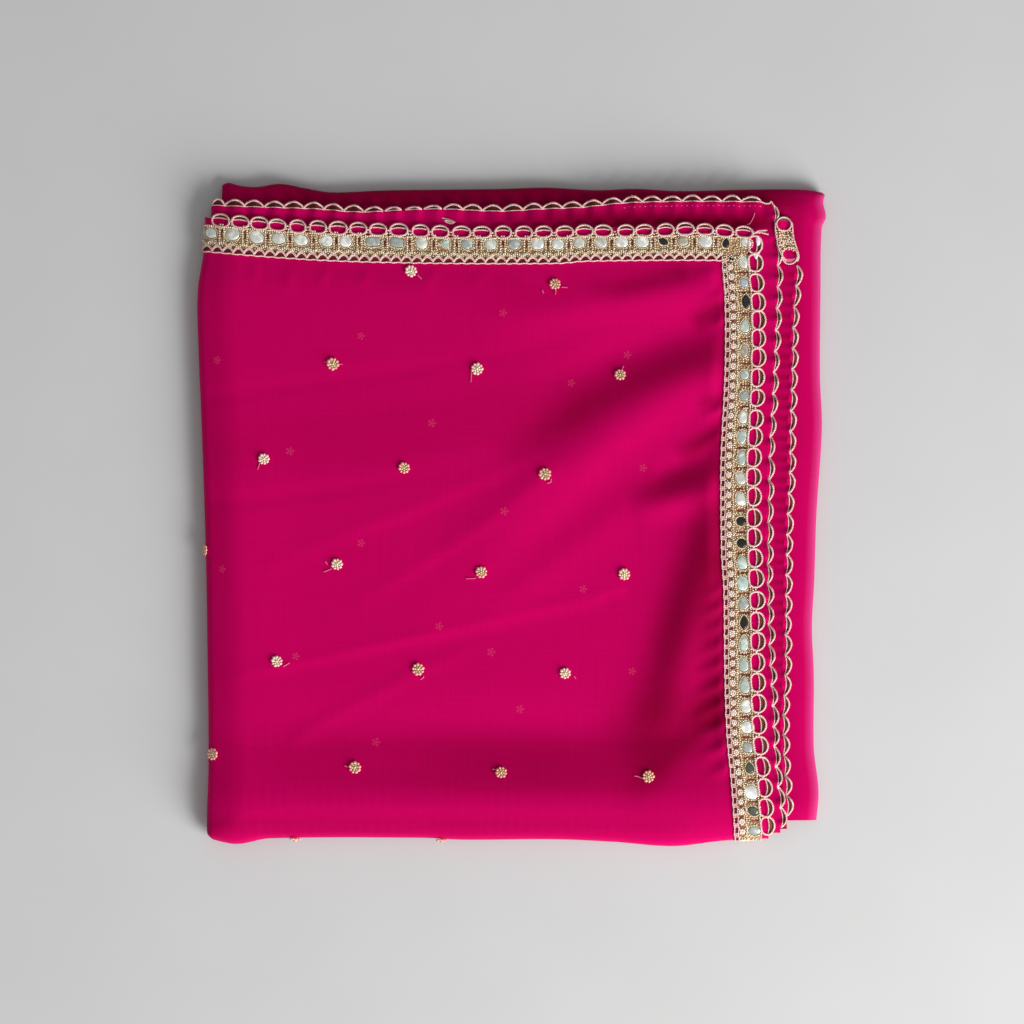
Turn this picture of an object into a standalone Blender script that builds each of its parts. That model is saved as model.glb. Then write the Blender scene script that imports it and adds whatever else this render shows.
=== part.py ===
"""A dupatta stole with a mirror-work lace border, folded into a flat packet.

The stole is one sheer cloth, 2.27 m long and 0.90 m wide, folded in three across its width and
in eight along its length.  Seen from above, +X is to the right and +Y is towards the back of the
packet.  Four stretches of the cloth show: the top layer, two layers whose wrong side is up and
whose scalloped border peeps out past them, and the outer fold that lies under them all.  The
layers that never show are one rounded solid.  Every length in this file is in millimetres until
the meshes are made.
"""

import math

import bpy
from mathutils import Vector

METRE = 0.001

# ---- cloth and layers ------------------------------------------------------------------------
WALL = 1.0  # a stretch of cloth with the air that it holds
GAP = 0.3  # clearance between pieces
TOP_LEVEL = 12.1
LAYER_RISE = WALL + GAP
SECOND_LEVEL = TOP_LEVEL - LAYER_RISE
THIRD_LEVEL = SECOND_LEVEL - LAYER_RISE
OUTER_LEVEL = THIRD_LEVEL - LAYER_RISE

LEFT_SLOPE, LEFT_SINK = 19.0, 4.2  # how far in, and how deep, the pack slopes down to its left fold
FRONT_SLOPE, FRONT_SINK = 17.0, 4.2
SINK_GROWTH = 0.05  # from one layer to the next
SLOPE_STEPS = (3.0, 6.5, 10.5, 15.0, 19.0)  # grid lines this far inside a fold, on its slope
RIM_SLOPE, RIM_SINK = 12.0, 2.7  # the same for the outer fold's back and right edges
FOLD_TURN = math.radians(150)
HALF_TURN, OUTER_TURN = math.radians(90), math.radians(130)
STRIP_INNER_X, STRIP_INNER_Y = 97.0, 115.0  # how far the partly hidden layers reach in under the top

# ---- the outline of each stretch: position along the side, then where its edge lies -----------
# left and right edges: (y, x)
TOP_LEFT = (
    (141, -144.3), (124, -145.0), (107, -147.6), (92, -147.9), (35, -145.7), (-22, -143.9),
    (-66, -143.2), (-116, -142.7), (-146, -143.5), (-153, -143.2),
)
SIDE_LACE_INNER = (
    (118, 98.8), (98, 100.1), (69, 100.1), (33, 98.4), (15, 98.0), (-18, 98.4), (-35, 99.4),
    (-76, 99.9), (-105, 101.0), (-128, 103.2), (-153, 104.9),
)
SECOND_RIGHT = (
    (147, 122.4), (118, 124.4), (98, 123.9), (57, 122.1), (36, 120.8), (6, 119.9), (-33, 119.6),
    (-62, 120.4), (-90, 121.9), (-117, 123.2), (-136, 125.4), (-150, 126.5),
)
THIRD_RIGHT = (
    (145, 131.5), (117, 133.5), (97, 132.0), (60, 130.9), (39, 130.2), (19, 130.0), (-1, 129.0),
    (-40, 128.2), (-77, 127.8), (-95, 126.9), (-114, 127.3), (-132, 128.4), (-149, 129.6),
)
OUTER_RIGHT = (
    (151, 147.8), (147, 146.8), (140, 148.1), (135, 146.1), (101, 145.5), (65, 145.3), (44, 146.2),
    (30, 145.7), (0, 143.6), (-31, 142.6), (-53, 141.5), (-76, 142.4), (-110, 142.4),
    (-130, 144.6), (-143, 143.7),
)
# back and front edges: (x, y)
TOP_LACE_INNER = (
    (-150, 124.2), (-122, 121.5), (-84, 119.1), (-34, 117.9), (22, 117.9), (35, 118.9),
    (92, 119.3), (115, 118.3),
)
TOP_FRONT = (
    (-143, -152.5), (-129.5, -155.1), (-114, -152.5), (-43, -152.2), (-23, -153.1), (20, -152.9),
    (48, -154.1), (76, -156.1), (100, -153.5), (122, -152.4),
)
SECOND_BACK = (
    (-141, 145.0), (-126, 144.3), (-91, 143.1), (-72, 141.7), (-50, 142.8), (-34, 143.2),
    (-5, 142.1), (15, 143.2), (33, 143.9), (52, 145.9), (79, 146.7), (122, 146.5),
)
OUTER_BACK = (
    (-136, 155.3), (-133.7, 156.4), (-128, 154.9), (-120, 154.3), (-109, 155.8), (-97, 153.7),
    (-85, 151.8), (-60, 152.7), (-5, 153.4), (16, 154.0), (40, 152.8), (58, 153.4), (79, 152.4),
    (113, 153.1), (138, 153.0), (148, 151.4),
)
SECOND_LEFT_X, SECOND_FRONT_Y = -141.4, -149.8
THIRD_LEFT_X, THIRD_FRONT_Y, THIRD_TUCK = -132.0, -148.0, 3.0
OUTER_LEFT_X, OUTER_FRONT_Y = -136.3, -143.9

# ---- lace border -----------------------------------------------------------------------------
BAND_WIDTH = 12.4
BAND_WALL = 0.9
MIRROR_ROW = 9.2  # the mirrors' line, from the band's inner edge
LATTICE_ROW = 5.4  # the braid between the inner edge and the mirrors
MIRROR_RADIUS, MIRROR_RISE = 2.9, 0.6
MIRROR_PITCH = 10.45
MIRROR_SIDES = 8
CLOTH_PAST_INNER = 15.8  # the top layer's hem, under the middle of the loops
LOOP_START = BAND_WIDTH + GAP
LOOP_PITCH = 9.45
LOOP_SPINE, LOOP_HEIGHT, LOOP_CORD = 0.8, 6.0, 1.05
LOOP_STEPS = 5
LOOP_ROOM, LOOP_BEND_ROOM = 0.2, 0.35  # extra clearance over the cloth, and over its fold
LOOP_DROOP = 0.9  # the loops hang from the top layer's hem onto the layer below
BACK_BAND_END_X, BACK_LOOPS_END_X = 110.9, 113.4
SIDE_BAND_START_Y, SIDE_LOOPS_START_Y = 117.6, 130.2

# ---- scalloped borders that peep out: pitch, reach of a scallop, thickness of its cord --------
SCALLOP_CORD = 1.1
SCALLOP_STEPS = 4
SCALLOP_GAP = 0.5
SECOND_BACK_SCALLOP = (9.3, 3.5)
SECOND_SIDE_SCALLOP = (9.8, 2.6)
THIRD_SIDE_SCALLOP = (9.6, 3.3)

# ---- small sewn flowers on the top layer: x, y -------------------------------------------------
BUTI_RADIUS, BUTI_DENT, BUTI_PETALS, BUTI_EDGE, BUTI_CROWN = 3.7, 0.7, 8, 0.5, 0.9
BUTI_GAP = 0.5
BUTIS = (
    (-47.2, 113.4), (20.4, 107.9),
    (-83.9, 70.7), (-16.2, 68.4), (51.0, 65.6),
    (-116.3, 26.1), (-50.5, 21.9), (15.7, 19.0),
    (-144.3, -16.7), (-82.0, -23.3), (-14.3, -27.0), (52.9, -28.0),
    (-110.2, -68.9), (-43.9, -72.6), (25.1, -74.5),
    (-140.3, -112.6), (-73.6, -118.7), (-4.9, -121.0), (64.2, -122.9),
)

# ---- soft folds of the top layer ---------------------------------------------------------------
# start x, y; middle x, y; end x, y; half width; height (a trough is below 0)
FOLDS = (
    (97, 71, 40, 42, -30, -34, 13.0, 1.9),  # long diagonal ridge from the lace to the middle
    (99, 88, 52, 74, 8, 58, 9.0, -1.0),  # trough above it
    (99, 116, 48, 99, -8, 90, 11.0, 1.2),  # ridge out of the corner
    (98, 12, 79, 9, 58, 0, 7.0, 1.3),  # short ridge half way down
    (97, 2, 89, -36, 72, -96, 9.0, 2.1),  # curved ridge beside the lace
    (84, -2, 70, -45, 60, -88, 9.0, -1.0),  # trough inside it
    (-70, -134, 20, -131, 104, -135, 11.0, 1.6),  # shoulder of the front fold
    (-55, -108, 10, -106, 80, -112, 10.0, -0.9),  # hollow behind the shoulder
    (-60, -60, -10, -36, 60, -26, 7.0, 0.6),  # faint creases to the lower left
    (-100, -90, -60, -62, -14, -48, 7.0, 0.5),
    (-64, -14, -20, 6, 6, 20, 6.0, 0.5),
    (-126, 100, -126, 0, -124, -130, 6.0, 0.4),  # pressed line beside the left fold
)
# gathers beside the side lace: y, reach to the left, height
GATHERS = (
    (-34, 10, 0.7), (-43, 12, 0.8), (-52, 9, 0.7), (-61, 12, 0.9), (-70, 13, 0.8), (-80, 15, 1.0),
    (-90, 16, 1.0), (-100, 14, 0.9), (-110, 12, 0.8),
)
GATHER_HALF_WIDTH, GATHER_SLANT = 2.6, 0.2
GATHER_START = 4.0  # a gather is highest this far from the lace


# ================================================================================================
# curves and heights
# ================================================================================================
def curve_through(rows):
    """A smooth curve through (position, value) rows, as a function of the position."""
    rows = sorted(rows)
    places = [row[0] for row in rows]
    values = [row[1] for row in rows]
    last = len(rows) - 1

    def slope(k):
        low, high = max(k - 1, 0), min(k + 1, last)
        return (values[high] - values[low]) / (places[high] - places[low])

    def value(position):
        position = min(max(position, places[0]), places[last])
        k = max(i for i in range(last) if places[i] <= position or i == 0)
        step = places[k + 1] - places[k]
        t = (position - places[k]) / step
        return (
            values[k] * (1 + 2 * t) * (1 - t) ** 2
            + values[k + 1] * t * t * (3 - 2 * t)
            + slope(k) * step * t * (1 - t) ** 2
            - slope(k + 1) * step * t * t * (1 - t)
        )

    return value


top_left = curve_through(TOP_LEFT)
top_front = curve_through(TOP_FRONT)
side_lace_inner = curve_through(SIDE_LACE_INNER)
top_lace_inner = curve_through(TOP_LACE_INNER)
second_right = curve_through(SECOND_RIGHT)
second_back = curve_through(SECOND_BACK)
third_right = curve_through(THIRD_RIGHT)
outer_right = curve_through(OUTER_RIGHT)
outer_back = curve_through(OUTER_BACK)


def fade(distance, width):
    """1 at distance 0, falling smoothly to 0 at the width."""
    if distance >= width:
        return 0.0
    t = 1 - max(distance, 0.0) / width
    return t * t


def joined(a, b, sharpness=3.0):
    """The larger of two amounts, rounded where they are alike."""
    return (max(a, 0.0) ** sharpness + max(b, 0.0) ** sharpness) ** (1 / sharpness)


def pack_sink(x, y, layers_down=0):
    """How far a layer sinks as it nears the left fold and the front fold.

    A lower layer sinks a little more, so that the layers stay as far apart on the slope.
    """
    left = LEFT_SINK * fade(x - top_left(y), LEFT_SLOPE)
    front = FRONT_SINK * fade(y - top_front(x), FRONT_SLOPE)
    return joined(left, front) * (1 + SINK_GROWTH * layers_down)


def rim_sink(x, y):
    """How far the outer fold sinks towards its back and right edges."""
    back = RIM_SINK * fade(outer_back(x) - y, RIM_SLOPE)
    right = RIM_SINK * fade(outer_right(y) - x, RIM_SLOPE)
    return joined(back, right)


FOLD_SAMPLES = 16


def fold_line(row):
    """Points along a fold's line, each with the share of its height left there."""
    x0, y0, x1, y1, x2, y2 = row[:6]
    line = []
    for k in range(FOLD_SAMPLES + 1):
        t = k / FOLD_SAMPLES
        a, b, c = (1 - t) ** 2, 2 * t * (1 - t), t * t
        full = 1 - max(0.0, t - 0.45) / 0.55
        line.append((a * x0 + b * x1 + c * x2, a * y0 + b * y1 + c * y2, full * (2 - full)))
    return line


FOLD_LINES = [(fold_line(row), row[6], row[7]) for row in FOLDS]


def fold_height(x, y):
    """The soft folds of the top layer, above its plain level."""
    total = 0.0
    for line, width, height in FOLD_LINES:
        near, share = min((math.hypot(x - px, y - py), left) for px, py, left in line)
        if near < 3 * width:
            total += height * share * math.exp(-((near / width) ** 2))
    return total


def gather_height(x, y):
    """Small ridges that run in from the side lace."""
    inward = side_lace_inner(y) - x
    if inward < -CLOTH_PAST_INNER or inward > 30:
        return 0.0
    total = 0.0
    for middle, reach, height in GATHERS:
        across = (y - middle + GATHER_SLANT * inward) / GATHER_HALF_WIDTH
        total += height * math.exp(-across * across) * fade(inward - GATHER_START, reach)
    return total * min(max(inward / GATHER_START, 0), 1)


def top_height(x, y):
    """The top layer's upper surface, where it doesn't turn down."""
    lace = min(max((side_lace_inner(y) - x) / 8, 0), 1) * min(max((top_lace_inner(x) - y) / 8, 0), 1)
    return TOP_LEVEL - pack_sink(x, y) + fold_height(x, y) * lace + gather_height(x, y)


def past_fold(position, low, high, low_fold, high_fold):
    """How a cloth position turns at the nearer of two edges: (where it lay flat, way, turn, radius)."""
    for edge, (radius, most), inward in ((low, low_fold, 1), (high, high_fold, -1)):
        depth = (position - edge) * inward
        if radius and depth < radius:
            return edge + inward * radius, -inward, min((radius - depth) / radius, most), radius
    return position, 0, 0.0, 0.0


class Stretch:
    """One stretch of the cloth: its edges, the level it lies at, and how its edges roll down.

    Each of left, right, front and back is (edge curve, roll radius, roll turn); a radius of 0 is
    an edge that lies flat.
    """

    def __init__(self, height, left, right, front, back):
        self.height = height
        self.left, self.right, self.front, self.back = left, right, front, back

    def turned(self, a, b):
        """Cloth position (a, b) as x, y, which way it turns in x and in y, the turn, its radius."""
        left, right, front, back = self.left, self.right, self.front, self.back
        x, way_x, turn_x, radius_x = past_fold(a, left[0](b), right[0](b), left[1:], right[1:])
        y, way_y, turn_y, radius_y = past_fold(b, front[0](a), back[0](a), front[1:], back[1:])
        both = math.hypot(turn_x, turn_y)
        if both == 0:
            return x, y, 0.0, 0.0, 0.0, 0.0
        way_x, way_y = way_x * turn_x / both, way_y * turn_y / both
        turn, radius = max(turn_x, turn_y), max(radius_x, radius_y)
        out = radius * math.sin(turn)
        return x + way_x * out, y + way_y * out, way_x, way_y, turn, radius

    def place(self, a, b):
        """The point of the outer surface at cloth position (a, b)."""
        x, y, _, _, turn, radius = self.turned(a, b)
        return Vector((x, y, self.height(x, y) - radius * (1 - math.cos(turn))))

    def normal(self, a, b, step=0.05):
        x, y, way_x, way_y, turn, _ = self.turned(a, b)
        slope_x = (self.height(x + step, y) - self.height(x - step, y)) / (2 * step)
        slope_y = (self.height(x, y + step) - self.height(x, y - step)) / (2 * step)
        up = Vector((-slope_x, -slope_y, 1)).normalized()
        return (up * math.cos(turn) + Vector((way_x, way_y, 0)) * math.sin(turn)).normalized()

    def lifted(self, a, b, offset):
        return self.place(a, b) + self.normal(a, b) * offset


def always(value):
    return lambda _position: value


FLAT = (0.0, 0.0)
TOP_ROLL, OUTER_ROLL, SMALL_ROLL = 3.0, 1.8, 1.5
TOP = Stretch(
    top_height,
    (top_left, TOP_ROLL, FOLD_TURN),
    (lambda y: side_lace_inner(y) + CLOTH_PAST_INNER, *FLAT),
    (top_front, TOP_ROLL, FOLD_TURN),
    (lambda x: top_lace_inner(x) + CLOTH_PAST_INNER, *FLAT),
)
SECOND = Stretch(
    lambda x, y: SECOND_LEVEL - pack_sink(x, y, 1),
    (always(SECOND_LEFT_X), SMALL_ROLL, HALF_TURN),
    (second_right, *FLAT),
    (always(SECOND_FRONT_Y), SMALL_ROLL, HALF_TURN),
    (second_back, *FLAT),
)
THIRD = Stretch(
    lambda x, y: THIRD_LEVEL - pack_sink(x, y, 2),
    (always(THIRD_LEFT_X), *FLAT),
    (third_right, *FLAT),
    (always(THIRD_FRONT_Y), SMALL_ROLL, HALF_TURN),
    (lambda x: second_back(x) - THIRD_TUCK, *FLAT),
)
OUTER = Stretch(
    lambda x, y: OUTER_LEVEL - pack_sink(x, y, 3) - rim_sink(x, y),
    (always(OUTER_LEFT_X), *FLAT),
    (outer_right, OUTER_ROLL, OUTER_TURN),
    (always(OUTER_FRONT_Y), *FLAT),
    (outer_back, OUTER_ROLL, OUTER_TURN),
)


# ================================================================================================
# meshes
# ================================================================================================
def material(name, colour, roughness, metallic):
    made = bpy.data.materials.new(name)
    made.use_nodes = True
    shader = made.node_tree.nodes["Principled BSDF"]
    shader.inputs["Base Color"].default_value = (*colour, 1)
    shader.inputs["Roughness"].default_value = roughness
    shader.inputs["Metallic"].default_value = metallic
    return made


def make_object(name, points, faces, finish):
    """A mesh object from points in millimetres."""
    mesh = bpy.data.meshes.new(name)
    mesh.from_pydata([Vector(p) * METRE for p in points], [], faces)
    mesh.materials.append(finish)
    mesh.shade_smooth()
    mesh.set_sharp_from_angle(angle=math.radians(40))
    made = bpy.data.objects.new(name, mesh)
    bpy.context.scene.collection.objects.link(made)
    return made


def wall_solid(name, outer_cells, inner_cells, outer_point, inner_point, finish):
    """A closed wall.  Cells are polygons of keys, turning left as seen from above the cloth.

    The two sets of cells have the same outline.  Where they end, the wall's edge joins them.
    """
    points, outer_index, inner_index = [], {}, {}

    def numbered(key, index, place):
        if key not in index:
            index[key] = len(points)
            points.append(place(key))
        return index[key]

    faces = [[numbered(key, outer_index, outer_point) for key in cell] for cell in outer_cells]
    sides = {(a, b) for cell in outer_cells for a, b in zip(cell, cell[1:] + cell[:1])}
    faces += [
        [numbered(key, inner_index, inner_point) for key in reversed(cell)] for cell in inner_cells
    ]
    for a, b in sorted(sides):
        if (b, a) not in sides:
            faces.append((outer_index[b], outer_index[a], inner_index[a], inner_index[b]))
    return make_object(name, points, faces, finish)


def grid_cells(columns, rows, keep=lambda i, j: True):
    """Cells of a grid of (i, j) keys, for the cells that are kept."""
    return [
        [(i, j), (i + 1, j), (i + 1, j + 1), (i, j + 1)]
        for i in range(columns - 1)
        for j in range(rows - 1)
        if keep(i, j)
    ]


def spread(start, end, spacing):
    """Evenly spaced positions from start to end."""
    count = max(1, round(abs(end - start) / spacing))
    return [start + (end - start) * k / count for k in range(count + 1)]


def roll_steps(radius, turn, count):
    """Cloth distances inside an edge, from the end of its roll to where it lies flat."""
    return [radius * (1 - turn * k / count) for k in range(count, 0, -1)] if radius else []


def stretch_grid(stretch, shares_a, shares_b, steps):
    """Cloth positions of a stretch's grid, as functions of the column and the row.

    shares are how far along, from 0 at the low edge's flat part to 1 at the high edge's.
    steps is the number of steps in each roll.
    """
    low_a = roll_steps(*stretch.left[1:], steps)
    high_a = roll_steps(*stretch.right[1:], steps)[::-1]
    low_b = roll_steps(*stretch.front[1:], steps)
    high_b = roll_steps(*stretch.back[1:], steps)[::-1]

    def position(k, other, low, high, shares, edge_low, edge_high):
        start, end = edge_low[0](other), edge_high[0](other)
        if k < len(low):
            return start + low[k]
        k -= len(low)
        if k < len(shares):
            flat_start, flat_end = start + edge_low[1], end - edge_high[1]
            return flat_start + (flat_end - flat_start) * shares[k]
        return end - high[k - len(shares)]

    def nominal(shares, k, low, edge_low, edge_high):
        share = shares[min(max(k - len(low), 0), len(shares) - 1)]
        return edge_low[0](0) + (edge_high[0](0) - edge_low[0](0)) * share

    def cloth(i, j):
        b = nominal(shares_b, j, low_b, stretch.front, stretch.back)
        a = position(i, b, low_a, high_a, shares_a, stretch.left, stretch.right)
        b = position(j, a, low_b, high_b, shares_b, stretch.front, stretch.back)
        return a, b

    columns = len(low_a) + len(shares_a) + len(high_a)
    rows = len(low_b) + len(shares_b) + len(high_b)
    return cloth, columns, rows, len(low_a), len(low_b)


def shares_of(positions):
    start, end = positions[0], positions[-1]
    return [(p - start) / (end - start) for p in positions]


def cloth_solid(name, stretch, shares_a, shares_b, steps, finish, keep=None):
    cloth, columns, rows, skip_a, skip_b = stretch_grid(stretch, shares_a, shares_b, steps)
    cells = grid_cells(
        columns, rows, (lambda i, j: keep(i - skip_a, j - skip_b)) if keep else lambda i, j: True
    )
    return wall_solid(
        name,
        cells,
        cells,
        lambda key: stretch.place(*cloth(*key)),
        lambda key: stretch.lifted(*cloth(*key), -WALL),
        finish,
    )


# ================================================================================================
# the cloth
# ================================================================================================
TOP_COLUMN_SPACING, TOP_ROW_SPACING = 13.2, 12.0


def build_top_layer(finish):
    left, front = -145.0, -153.0
    columns = [left + step for step in SLOPE_STEPS]
    columns += spread(columns[-1], 82.0, TOP_COLUMN_SPACING)[1:] + [88.0, 93.5, 98.5, 114.3]
    rows = [front + step for step in SLOPE_STEPS]
    rows += spread(rows[-1], GATHERS[-1][0] - 6, 9)[1:]
    middles = [gather[0] for gather in reversed(GATHERS)]
    for middle, following in zip(middles, middles[1:]):
        rows += [middle, (middle + following) / 2]
    rows += [middles[-1], middles[-1] + 5]
    rows += spread(middles[-1] + 15, 118.3, TOP_ROW_SPACING) + [134.0]
    cloth_solid("top_layer", TOP, shares_of(columns), shares_of(rows), 4, finish)


def rim_steps(start, end, radius):
    """Grid lines from the strip's inner edge to its outer one, closer together where it slopes."""
    steps = (11.0, 6.5, 3.0, 0.0) if radius else (0.0,)
    middle = [(start + end - steps[0]) / 2] if end - steps[0] - start > 15 else []
    return middle + [end - step for step in steps]


def build_strip(name, stretch, left, right, front, back, roll_count, finish):
    """An L of cloth along the back and the right: what lies further in is with the hidden layers.

    left, right, front and back are the plain places of its edges.
    """
    start, end = left + stretch.left[1], right - stretch.right[1]
    slope = [x for x in (-145.0 + step for step in SLOPE_STEPS) if x > start + 1]
    columns = [start] + slope + spread(slope[-1], STRIP_INNER_X, STRIP_SPACING)[1:]
    inner_column = len(columns) - 1
    columns += rim_steps(STRIP_INNER_X, end, stretch.right[1])
    start, end = front + stretch.front[1], back - stretch.back[1]
    slope = [y for y in (-153.0 + step for step in SLOPE_STEPS) if y > start + 1]
    rows = [start] + slope + spread(slope[-1], STRIP_INNER_Y, STRIP_SPACING)[1:]
    inner_row = len(rows) - 1
    rows += rim_steps(STRIP_INNER_Y, end, stretch.back[1])
    cloth_solid(
        name,
        stretch,
        shares_of(columns),
        shares_of(rows),
        roll_count,
        finish,
        keep=lambda i, j: i >= inner_column or j >= inner_row,
    )


STRIP_SPACING = 18.0


def build_lower_layers(finish):
    build_strip("second_layer", SECOND, SECOND_LEFT_X, 121.5, SECOND_FRONT_Y, 144.0, 2, finish)
    build_strip("third_layer", THIRD, THIRD_LEFT_X, 130.0, THIRD_FRONT_Y, 141.0, 2, finish)
    build_strip("outer_fold", OUTER, OUTER_LEFT_X, 144.5, OUTER_FRONT_Y, 153.5, 3, finish)


# Heights of the hidden packs' rings, and how far each lies inside its outline.
LOWER_RINGS = ((0.0, 2.0), (0.6, 0.5), (1.2, 1.5), (1.7, 1.1), (2.4, 2.9), (3.7, 3.4))
UPPER_RINGS = ((4.9, 1.2), (6.2, 0.3), (7.4, 0.9))
HIDDEN_CLEARANCE = 0.5
TROUGH_ROOM = 1.4
RING_STEPS = 11
RING_CORNER = 1.6  # how near its corners a ring's sides go
FOLD_TUCK = 3.4  # the packs lie this far inside the fold that turns round them


def eased(start, end, low, high, position):
    """low up to start, high from end, and a soft step between."""
    t = min(max((position - start) / (end - start), 0), 1)
    return low + (high - low) * t * t * (3 - 2 * t)


def lower_left(y):
    return eased(128, 142, top_left(y) + FOLD_TUCK, OUTER_LEFT_X + 1.0, y)


def lower_front(x):
    return eased(108, 122, top_front(x) + FOLD_TUCK, OUTER_FRONT_Y + 1.0, x)


def ring(left, right, front, back, inset):
    """Points round a packet, side by side, at an inset from its four edges."""

    def corner(side, in_x, end, in_y):
        x, y = side(0) + in_x, end(0) + in_y
        for _ in range(6):
            x, y = side(y) + in_x, end(x) + in_y
        return x, y

    front_left = corner(left, inset, front, inset)
    front_right = corner(right, -inset, front, inset)
    back_right = corner(right, -inset, back, -inset)
    back_left = corner(left, inset, back, -inset)

    def between(low, high):
        low, high = low + RING_CORNER, high - RING_CORNER
        return spread(low, high, (high - low) / RING_STEPS)

    points = [(x, front(x) + inset) for x in between(front_left[0], front_right[0])]
    points += [(right(y) - inset, y) for y in between(front_right[1], back_right[1])]
    points += [(x, back(x) - inset) for x in reversed(between(back_left[0], back_right[0]))]
    points += [(left(y) + inset, y) for y in reversed(between(front_left[1], back_left[1]))]
    return points


def ring_solid(name, rings, finish):
    """A solid through rings of the same number of points, from the lowest to the highest."""
    count = len(rings[0])
    points = [point for one in rings for point in one]
    middle_x = sum(point[0] for point in rings[-1]) / count
    middle_y = sum(point[1] for point in rings[-1]) / count
    points.append((middle_x, middle_y, max(point[2] for point in rings[-1])))
    faces = [list(range(count))[::-1]]
    for k in range(len(rings) - 1):
        for i in range(count):
            j = (i + 1) % count
            low, high = k * count, (k + 1) * count
            faces.append((low + i, low + j, high + j, high + i))
    last = (len(rings) - 1) * count
    faces += [(last + i, last + (i + 1) % count, len(points) - 1) for i in range(count)]
    return make_object(name, points, faces, finish)


def build_hidden_layers(finish):
    """The layers that never show: a lower packet, and an upper one that is set to the left."""
    lower_edges = (lower_left, outer_right, lower_front, outer_back)

    def shelf(x, y):
        return OUTER.height(x, y) - WALL - HIDDEN_CLEARANCE

    rings = [[(x, y, z) for x, y in ring(*lower_edges, inset)] for z, inset in LOWER_RINGS]
    for inset in (4.6, 8.5, 15.0):
        rings.append([(x, y, shelf(x, y)) for x, y in ring(*lower_edges, inset)])
    lower = ring_solid("hidden_layers", rings, finish)

    inset_x, inset_y = STRIP_INNER_X - 5.0, STRIP_INNER_Y - 5.0
    upper_edges = (
        lambda y: top_left(y) + FOLD_TUCK,
        always(inset_x),
        lambda x: top_front(x) + FOLD_TUCK,
        always(inset_y),
    )

    def under_top(x, y):
        return TOP_LEVEL - pack_sink(x, y) - WALL - HIDDEN_CLEARANCE - TROUGH_ROOM

    rings = []
    for z, inset in UPPER_RINGS:
        rings.append([(x, y, min(z, under_top(x, y) - 0.4)) for x, y in ring(*upper_edges, inset)])
    for inset in (2.2, 7.0, 15.0):
        rings.append([(x, y, under_top(x, y)) for x, y in ring(*upper_edges, inset)])
    upper = ring_solid("upper_packet", rings, finish)
    upper.hide_render = True
    upper.display_type = "WIRE"
    join = lower.modifiers.new("upper packet", "BOOLEAN")
    join.operation = "UNION"
    join.solver = "EXACT"
    join.object = upper


# ================================================================================================
# the lace border
# ================================================================================================
def lace_place(side, u, v):
    """Cloth position of a point of the lace: u runs along it, v out from its inner edge."""
    if side:
        return side_lace_inner(u) + v, u
    return u, top_lace_inner(u) + v


def lace_point(side, u, v, lift, fold, bend_room=0.15):
    """A point of the lace, which lies on the top layer and turns round its fold."""
    bend = min(max((fold + TOP_ROLL + 1 - u) / 2, 0), 1)
    return TOP.lifted(*lace_place(side, u, v), GAP + lift + bend_room * bend)


def loop_point(side, u, v, lift, fold):
    """The same for the loops, which droop past the top layer's hem."""
    droop = LOOP_DROOP * min(max((v - CLOTH_PAST_INNER - 0.9) / 2.0, 0), 1)
    flat = min(max((u - fold - TOP_ROLL) / 2, 0), 1)
    return lace_point(side, u, v, lift + LOOP_ROOM - droop * flat, fold, LOOP_BEND_ROOM)


def turn_over(cells, side):
    """The side lace runs the other way round its inner edge, so its cells turn the other way."""
    return [list(reversed(cell)) for cell in cells] if side else cells


def band_tile(start, end, bends):
    """Outer cells of one mirror's length of the band: a braid strip, then a raised mirror.

    Where the band bends, its two long edges have a point half way.
    """
    middle = (start + end) / 2
    ring_keys = []
    for k in range(MIRROR_SIDES):
        angle = 2 * math.pi * (k + 0.5) / MIRROR_SIDES
        ring_keys.append(
            (
                round(middle + MIRROR_RADIUS * math.cos(angle), 4),
                round(MIRROR_ROW + MIRROR_RADIUS * math.sin(angle), 4),
            )
        )
    low = [(u, v, 0.0) for u, v in ring_keys]
    high = [(u, v, MIRROR_RISE) for u, v in ring_keys]
    corners = [
        (end, BAND_WIDTH, 0.0), (start, BAND_WIDTH, 0.0),
        (start, LATTICE_ROW, 0.0), (end, LATTICE_ROW, 0.0),
    ]  # the mirror's ring starts just past +u, so the corners follow it round from (+u, +v)
    halves = [[(middle, v, 0.0)] if bends else [] for v in (0.0, LATTICE_ROW, BAND_WIDTH)]
    braid = [(start, 0.0, 0.0), *halves[0], (end, 0.0, 0.0), corners[3], *halves[1], corners[2]]
    cells = [braid]
    for k in range(4):
        first, second = 2 * k, (2 * k + 1) % MIRROR_SIDES
        cells.append([corners[k], low[second], low[first]])
        following = (2 * k + 2) % MIRROR_SIDES
        half = halves[2] if k == 0 else halves[1] if k == 2 else []
        cells.append([corners[k], *half, corners[(k + 1) % 4], low[following], low[second]])
    cells += [
        [low[k], low[(k + 1) % MIRROR_SIDES], high[(k + 1) % MIRROR_SIDES], high[k]]
        for k in range(MIRROR_SIDES)
    ]
    cells.append(high)
    return cells


def split_plain(positions):
    """Plain cells of the band that meet its tiles: the braid strip and the mirror strip."""
    cells = []
    for a, b in zip(positions, positions[1:]):
        cells.append([(a, 0.0, 0.0), (b, 0.0, 0.0), (b, LATTICE_ROW, 0.0), (a, LATTICE_ROW, 0.0)])
        cells.append(
            [(a, LATTICE_ROW, 0.0), (b, LATTICE_ROW, 0.0), (b, BAND_WIDTH, 0.0), (a, BAND_WIDTH, 0.0)]
        )
    return cells


def wrap_positions(edge, radius, turn, count):
    """Positions round a fold, from its far side to where the cloth lies flat."""
    return [edge + radius * (1 - turn * k / count) for k in range(count, -1, -1)]


LACE_WRAP_TURN = math.radians(125)
BENT_TILES = 2  # on the slope beside the fold


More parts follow.
